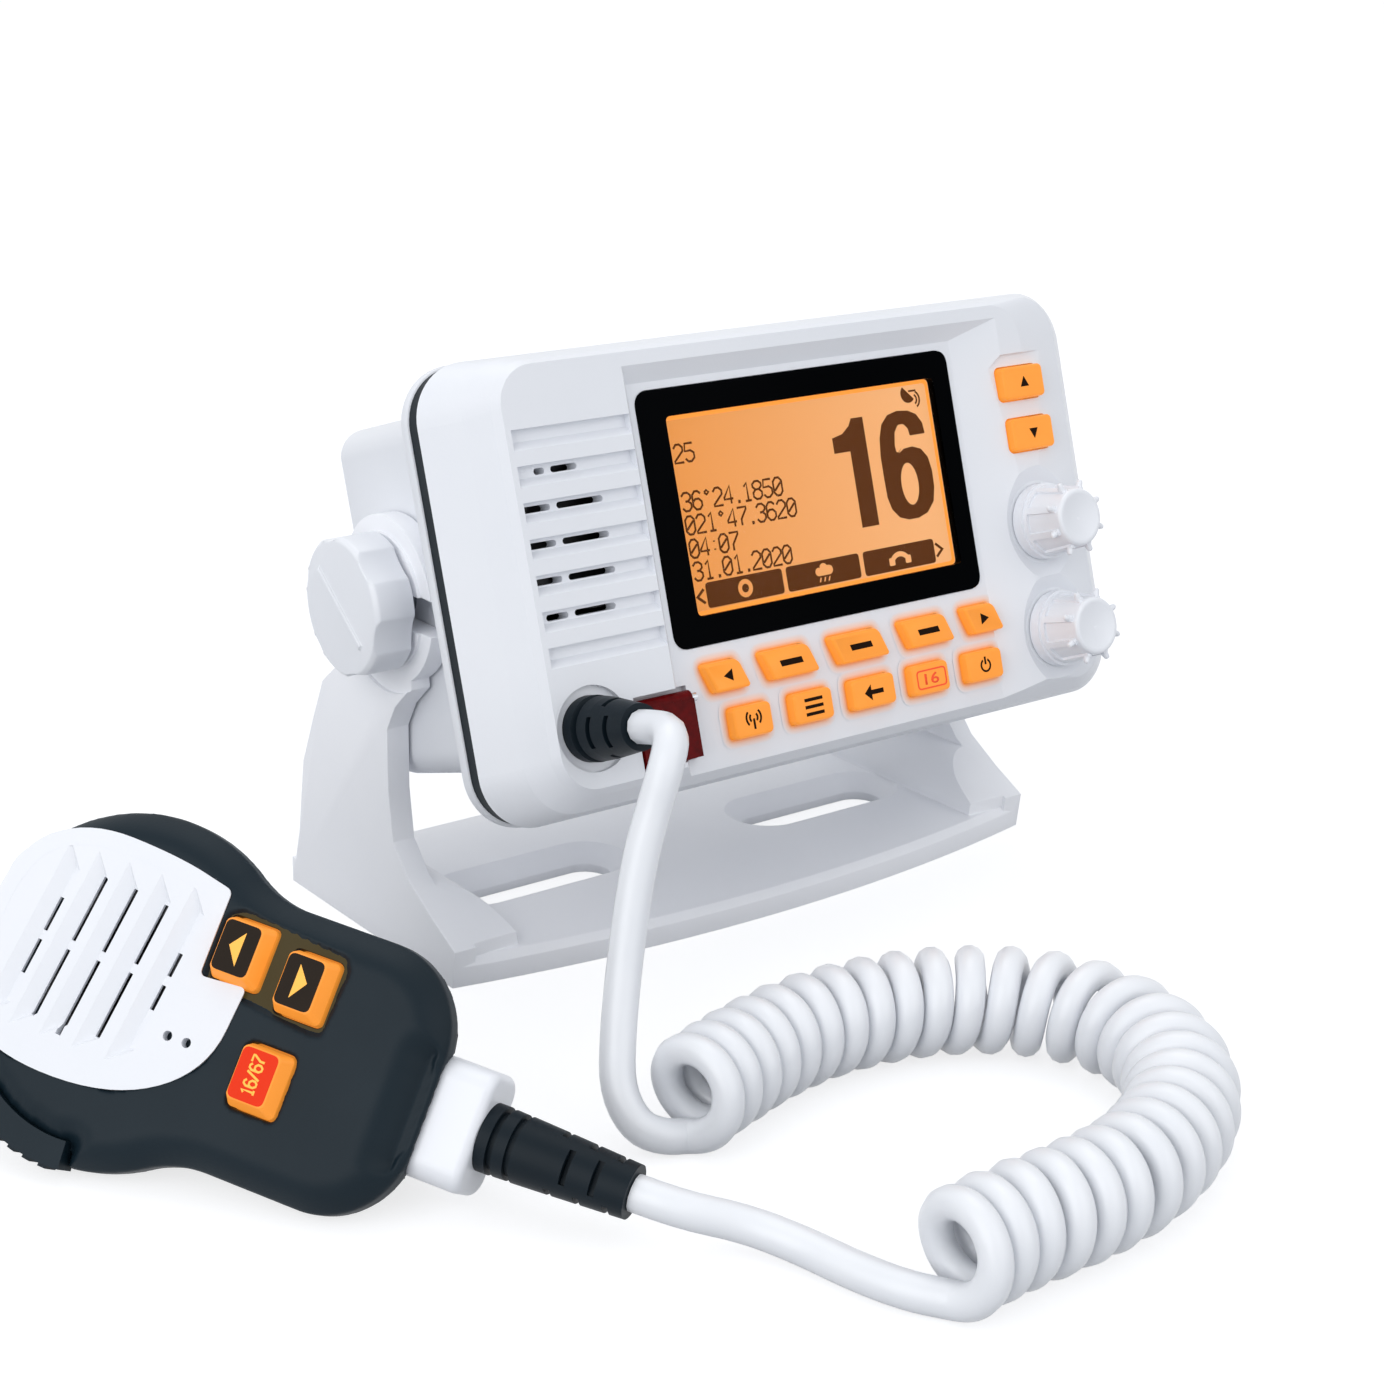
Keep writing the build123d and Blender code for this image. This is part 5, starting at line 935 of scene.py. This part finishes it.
def makePaintedKeyLightFinish():
    # the case's own resin with the keys' light painted on round each key, as an orange tint and a faint glow;
    # the ring's attribute fades it out
    glow = {"glow": paintedGlowRing["glow"], "strength": paintedGlowRing["strength"]}
    material = makeFinish("keyLightPaintedAsa", dict(finishes["mouldedAsa"], **glow))
    shader = material.node_tree.nodes["Principled BSDF"]
    links = material.node_tree.links
    fade = addNode(material, "ShaderNodeAttribute", {"attribute_name": "keyLight"}).outputs["Fac"]
    scaled, share = (addNode(material, "ShaderNodeMath", {"operation": "MULTIPLY", 1: paintedGlowRing[name]},
                             {0: fade}) for name in ("strength", "tint"))
    links.new(scaled.outputs[0], shader.inputs["Emission Strength"])
    resin = shader.inputs["Base Color"].links[0].from_socket
    tinted = addNode(material, "ShaderNodeMix",
                     {"data_type": "RGBA", secondColour: linear(paintedGlowRing["colour"])},
                     {"Factor": share.outputs[0], firstColour: resin})
    links.new(tinted.outputs[mixedColour], shader.inputs["Base Color"])
    return material


def ringAround(name, x, y, halfX, halfY, lean, height):
    rows = []
    for out, light in paintedGlowRing["rows"]:
        corners = [(x - halfX - out + lean, y - halfY - out), (x + halfX + out + lean, y - halfY - out),
                   (x + halfX + out - lean, y + halfY + out), (x - halfX - out - lean, y + halfY + out)]
        rows.append(roundedOutline(corners, paintedGlowRing["corner"] + out, 4))
    count = len(rows[0])
    points = [radioFace @ Vector((px * mm, py * mm, height * mm)) for row in rows for px, py in row]
    faces = []
    for ring in range(len(rows) - 1):
        inner, outer = ring * count, (ring + 1) * count
        for index in range(count):
            after = (index + 1) % count
            faces.append((inner + index, outer + index, outer + after, inner + after))
    mesh = bpy.data.meshes.new(name)
    mesh.from_pydata(points, [], faces)
    fade = mesh.attributes.new("keyLight", "FLOAT", "POINT")
    for index, point in enumerate(fade.data):
        point.value = paintedGlowRing["rows"][index // count][1]
    return newPiece(name, mesh)


def addKeyLight():
    rings = []
    for name, (x, y, kind, shape) in keys.items():
        if shape:
            # neighbouring rings overlap, so each lies a hair above the last
            height = basinHeight + paintedGlowRing["lift"] + paintedGlowRing["step"] * len(rings)
            rings.append(ringAround(name + "Light", x, y, *shape, height))
    piece = joined("keyLight", rings)
    piece.data.materials.append(makePaintedKeyLightFinish())
    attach(piece, "radio")


addKeyLight()

# a small round pip at the front end of each rib of the two knobs: distance from the knob's axis, height and
# share of its radius along its line
knobGrips = {
    "x": 62.4, "places": {"squelch_knob": -8.1, "volume_knob": -32.4}, "count": 8, "radius": 0.78,
    "roundness": 2, "pip": ((5.8, 55.2, 1.0), (6.8, 55.3, 1.0), (7.6, 55.4, 0.95), (8.3, 55.5, 0.8),
                            (8.55, 55.5, 0.5), (8.6, 55.5, 0.1)),
}


def addKnobGrips():
    for bodyName, y in knobGrips["places"].items():
        pips = []
        for index in range(knobGrips["count"]):
            angle = 2 * math.pi * (index + 0.5) / knobGrips["count"]
            line = [Vector((knobGrips["x"] + out * math.cos(angle), y + out * math.sin(angle), up)) * mm
                    for out, up, share in knobGrips["pip"]]
            pip = routeCurve("pip", [radioFace @ point for point in line],
                             [share for out, up, share in knobGrips["pip"]])
            pips.append(thickened(pip, knobGrips["radius"], knobGrips["roundness"]))
        grips = joined(bodyName + "Grips", pips)
        bpy.ops.object.shade_smooth()
        dress(grips, "polishedAsa")
        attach(grips, bodyName)


addKnobGrips()

# the microphone's keys: middle, finish of the plate on top and the way its arrow points, 0 for figures
micKeys = {
    "mic_key_left": {"at": (13.6, 40.9), "finish": "brownKeyTop", "points": 1},
    "mic_key_right": {"at": (11.8, 27.3), "finish": "brownKeyTop", "points": -1},
    "mic_key_red": {"at": (-6.0, 29.1), "finish": "redKeyTop", "points": 0},
}
# half sizes, place on the key and corner, and foot and top of plate and sign, where the key's top is at 2.2
micKeyPlate = {"halfX": 4.6, "halfY": 3.55, "shiftX": 0.45, "shiftY": 0.7, "corner": 1.3,
               "plate": (2.15, 2.32), "sign": (2.3, 2.37)}
micArrow = [(-3.1, -0.9), (3.1, -0.9), (0.2, 1.5)]
micFigures = {"words": "16/67", "start": (-3.3, -1.2), "cell": (1.2, 1.42), "pen": 0.45}


def addMicKeys():
    halfX, halfY = micKeyPlate["halfX"], micKeyPlate["halfY"]
    for name, key in micKeys.items():
        x = key["at"][0] + micKeyPlate["shiftX"]
        y = key["at"][1] + micKeyPlate["shiftY"]
        outline = roundedOutline(rectangle(x - halfX, x + halfX, y - halfY, y + halfY), micKeyPlate["corner"])
        plate = flatPiece(name + "Top", [outline], *micKeyPlate["plate"], micFront)
        dress(plate, key["finish"])
        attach(plate, name)
        if key["points"]:
            outline = [(x + px, y + py * key["points"]) for px, py in micArrow]
            sign = flatPiece(name + "Sign", [outline], *micKeyPlate["sign"], micFront)
        else:
            left, foot = micFigures["start"]
            sign = strokeText(name + "Sign", micFigures["words"], (x + left, y + foot), micFigures["cell"],
                              micFigures["pen"], *micKeyPlate["sign"], micFront)
        dress(sign, "yellowInk")
        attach(sign, name)


addMicKeys()

# the lacquered field round the two arrow keys, with a hole for each key
micSurround = {
    "outline": [(6.627, 46.8), (19.164, 46.8), (21.154, 44.0), (19.363, 22.0), (16.577, 20.8), (4.836, 21.6),
                (4.438, 24.0)],
    "corner": 1.1, "low": -0.79, "high": -0.71, "holeX": 6.15, "holeY": 5.15, "holeCorner": 1.4,
}


def addMicSurround():
    halfX, halfY = micSurround["holeX"], micSurround["holeY"]
    outlines = [roundedOutline(micSurround["outline"], micSurround["corner"], 4)]
    for name in micKeyNames[:2]:
        x, y = micKeys[name]["at"]
        hole = rectangle(x - halfX, x + halfX, y - halfY, y + halfY)
        outlines.append(roundedOutline(hole, micSurround["holeCorner"], 4))
    plate = flatPiece("micKeySurround", outlines, micSurround["low"], micSurround["high"], micFront)
    dress(plate, "bronzeLacquer")
    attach(plate, "base")


addMicSurround()
print("microphone keys are in place")

# the speaker panel's rounded lip, wider than the seat that it covers; "firm" corners are only nipped
panelLip = {
    "corners": [(8.1, 38.0), (-8.0, 39.4), (-17.9, 54.6), (-18.5, 79.3), (-10.5, 91.8), (17.4, 91.8),
                (26.6, 79.3), (25.9, 59.8), (23.3, 47.4), (7.4, 47.4)],
    "opening": [(4.7, 41.4), (-6.4, 42.5), (-14.7, 55.5), (-15.3, 78.3), (-8.8, 88.6), (15.8, 88.6),
                (23.4, 78.3), (22.7, 60.1), (20.7, 50.6), (4.3, 50.6)],
    "firm": (0, 8, 9), "firmReach": 1.3, "low": -0.05, "high": 0.23,
}


def swollenOutline(corners, firm, reach):
    # bows from the middle of one edge to the middle of the next, but for the firm corners
    outline = []
    count = len(corners)
    for index in range(count):
        here, before, after = (Vector(corners[place % count]) for place in (index, index - 1, index + 1))
        start, end = (here + before) / 2, (here + after) / 2
        if index in firm:
            start, end = (here + (corner - here).normalized() * reach for corner in (before, after))
        outline += bowBetween(start, here, end, 8)
    return outline


def addPanelLip():
    outer, inner = (swollenOutline(panelLip[name], panelLip["firm"], panelLip["firmReach"])
                    for name in ("corners", "opening"))
    lip = flatPiece("speakerPanelLip", [outer, inner], panelLip["low"], panelLip["high"], micFront)
    dress(lip, "mouldedAsa")
    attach(lip, "base")


addPanelLip()
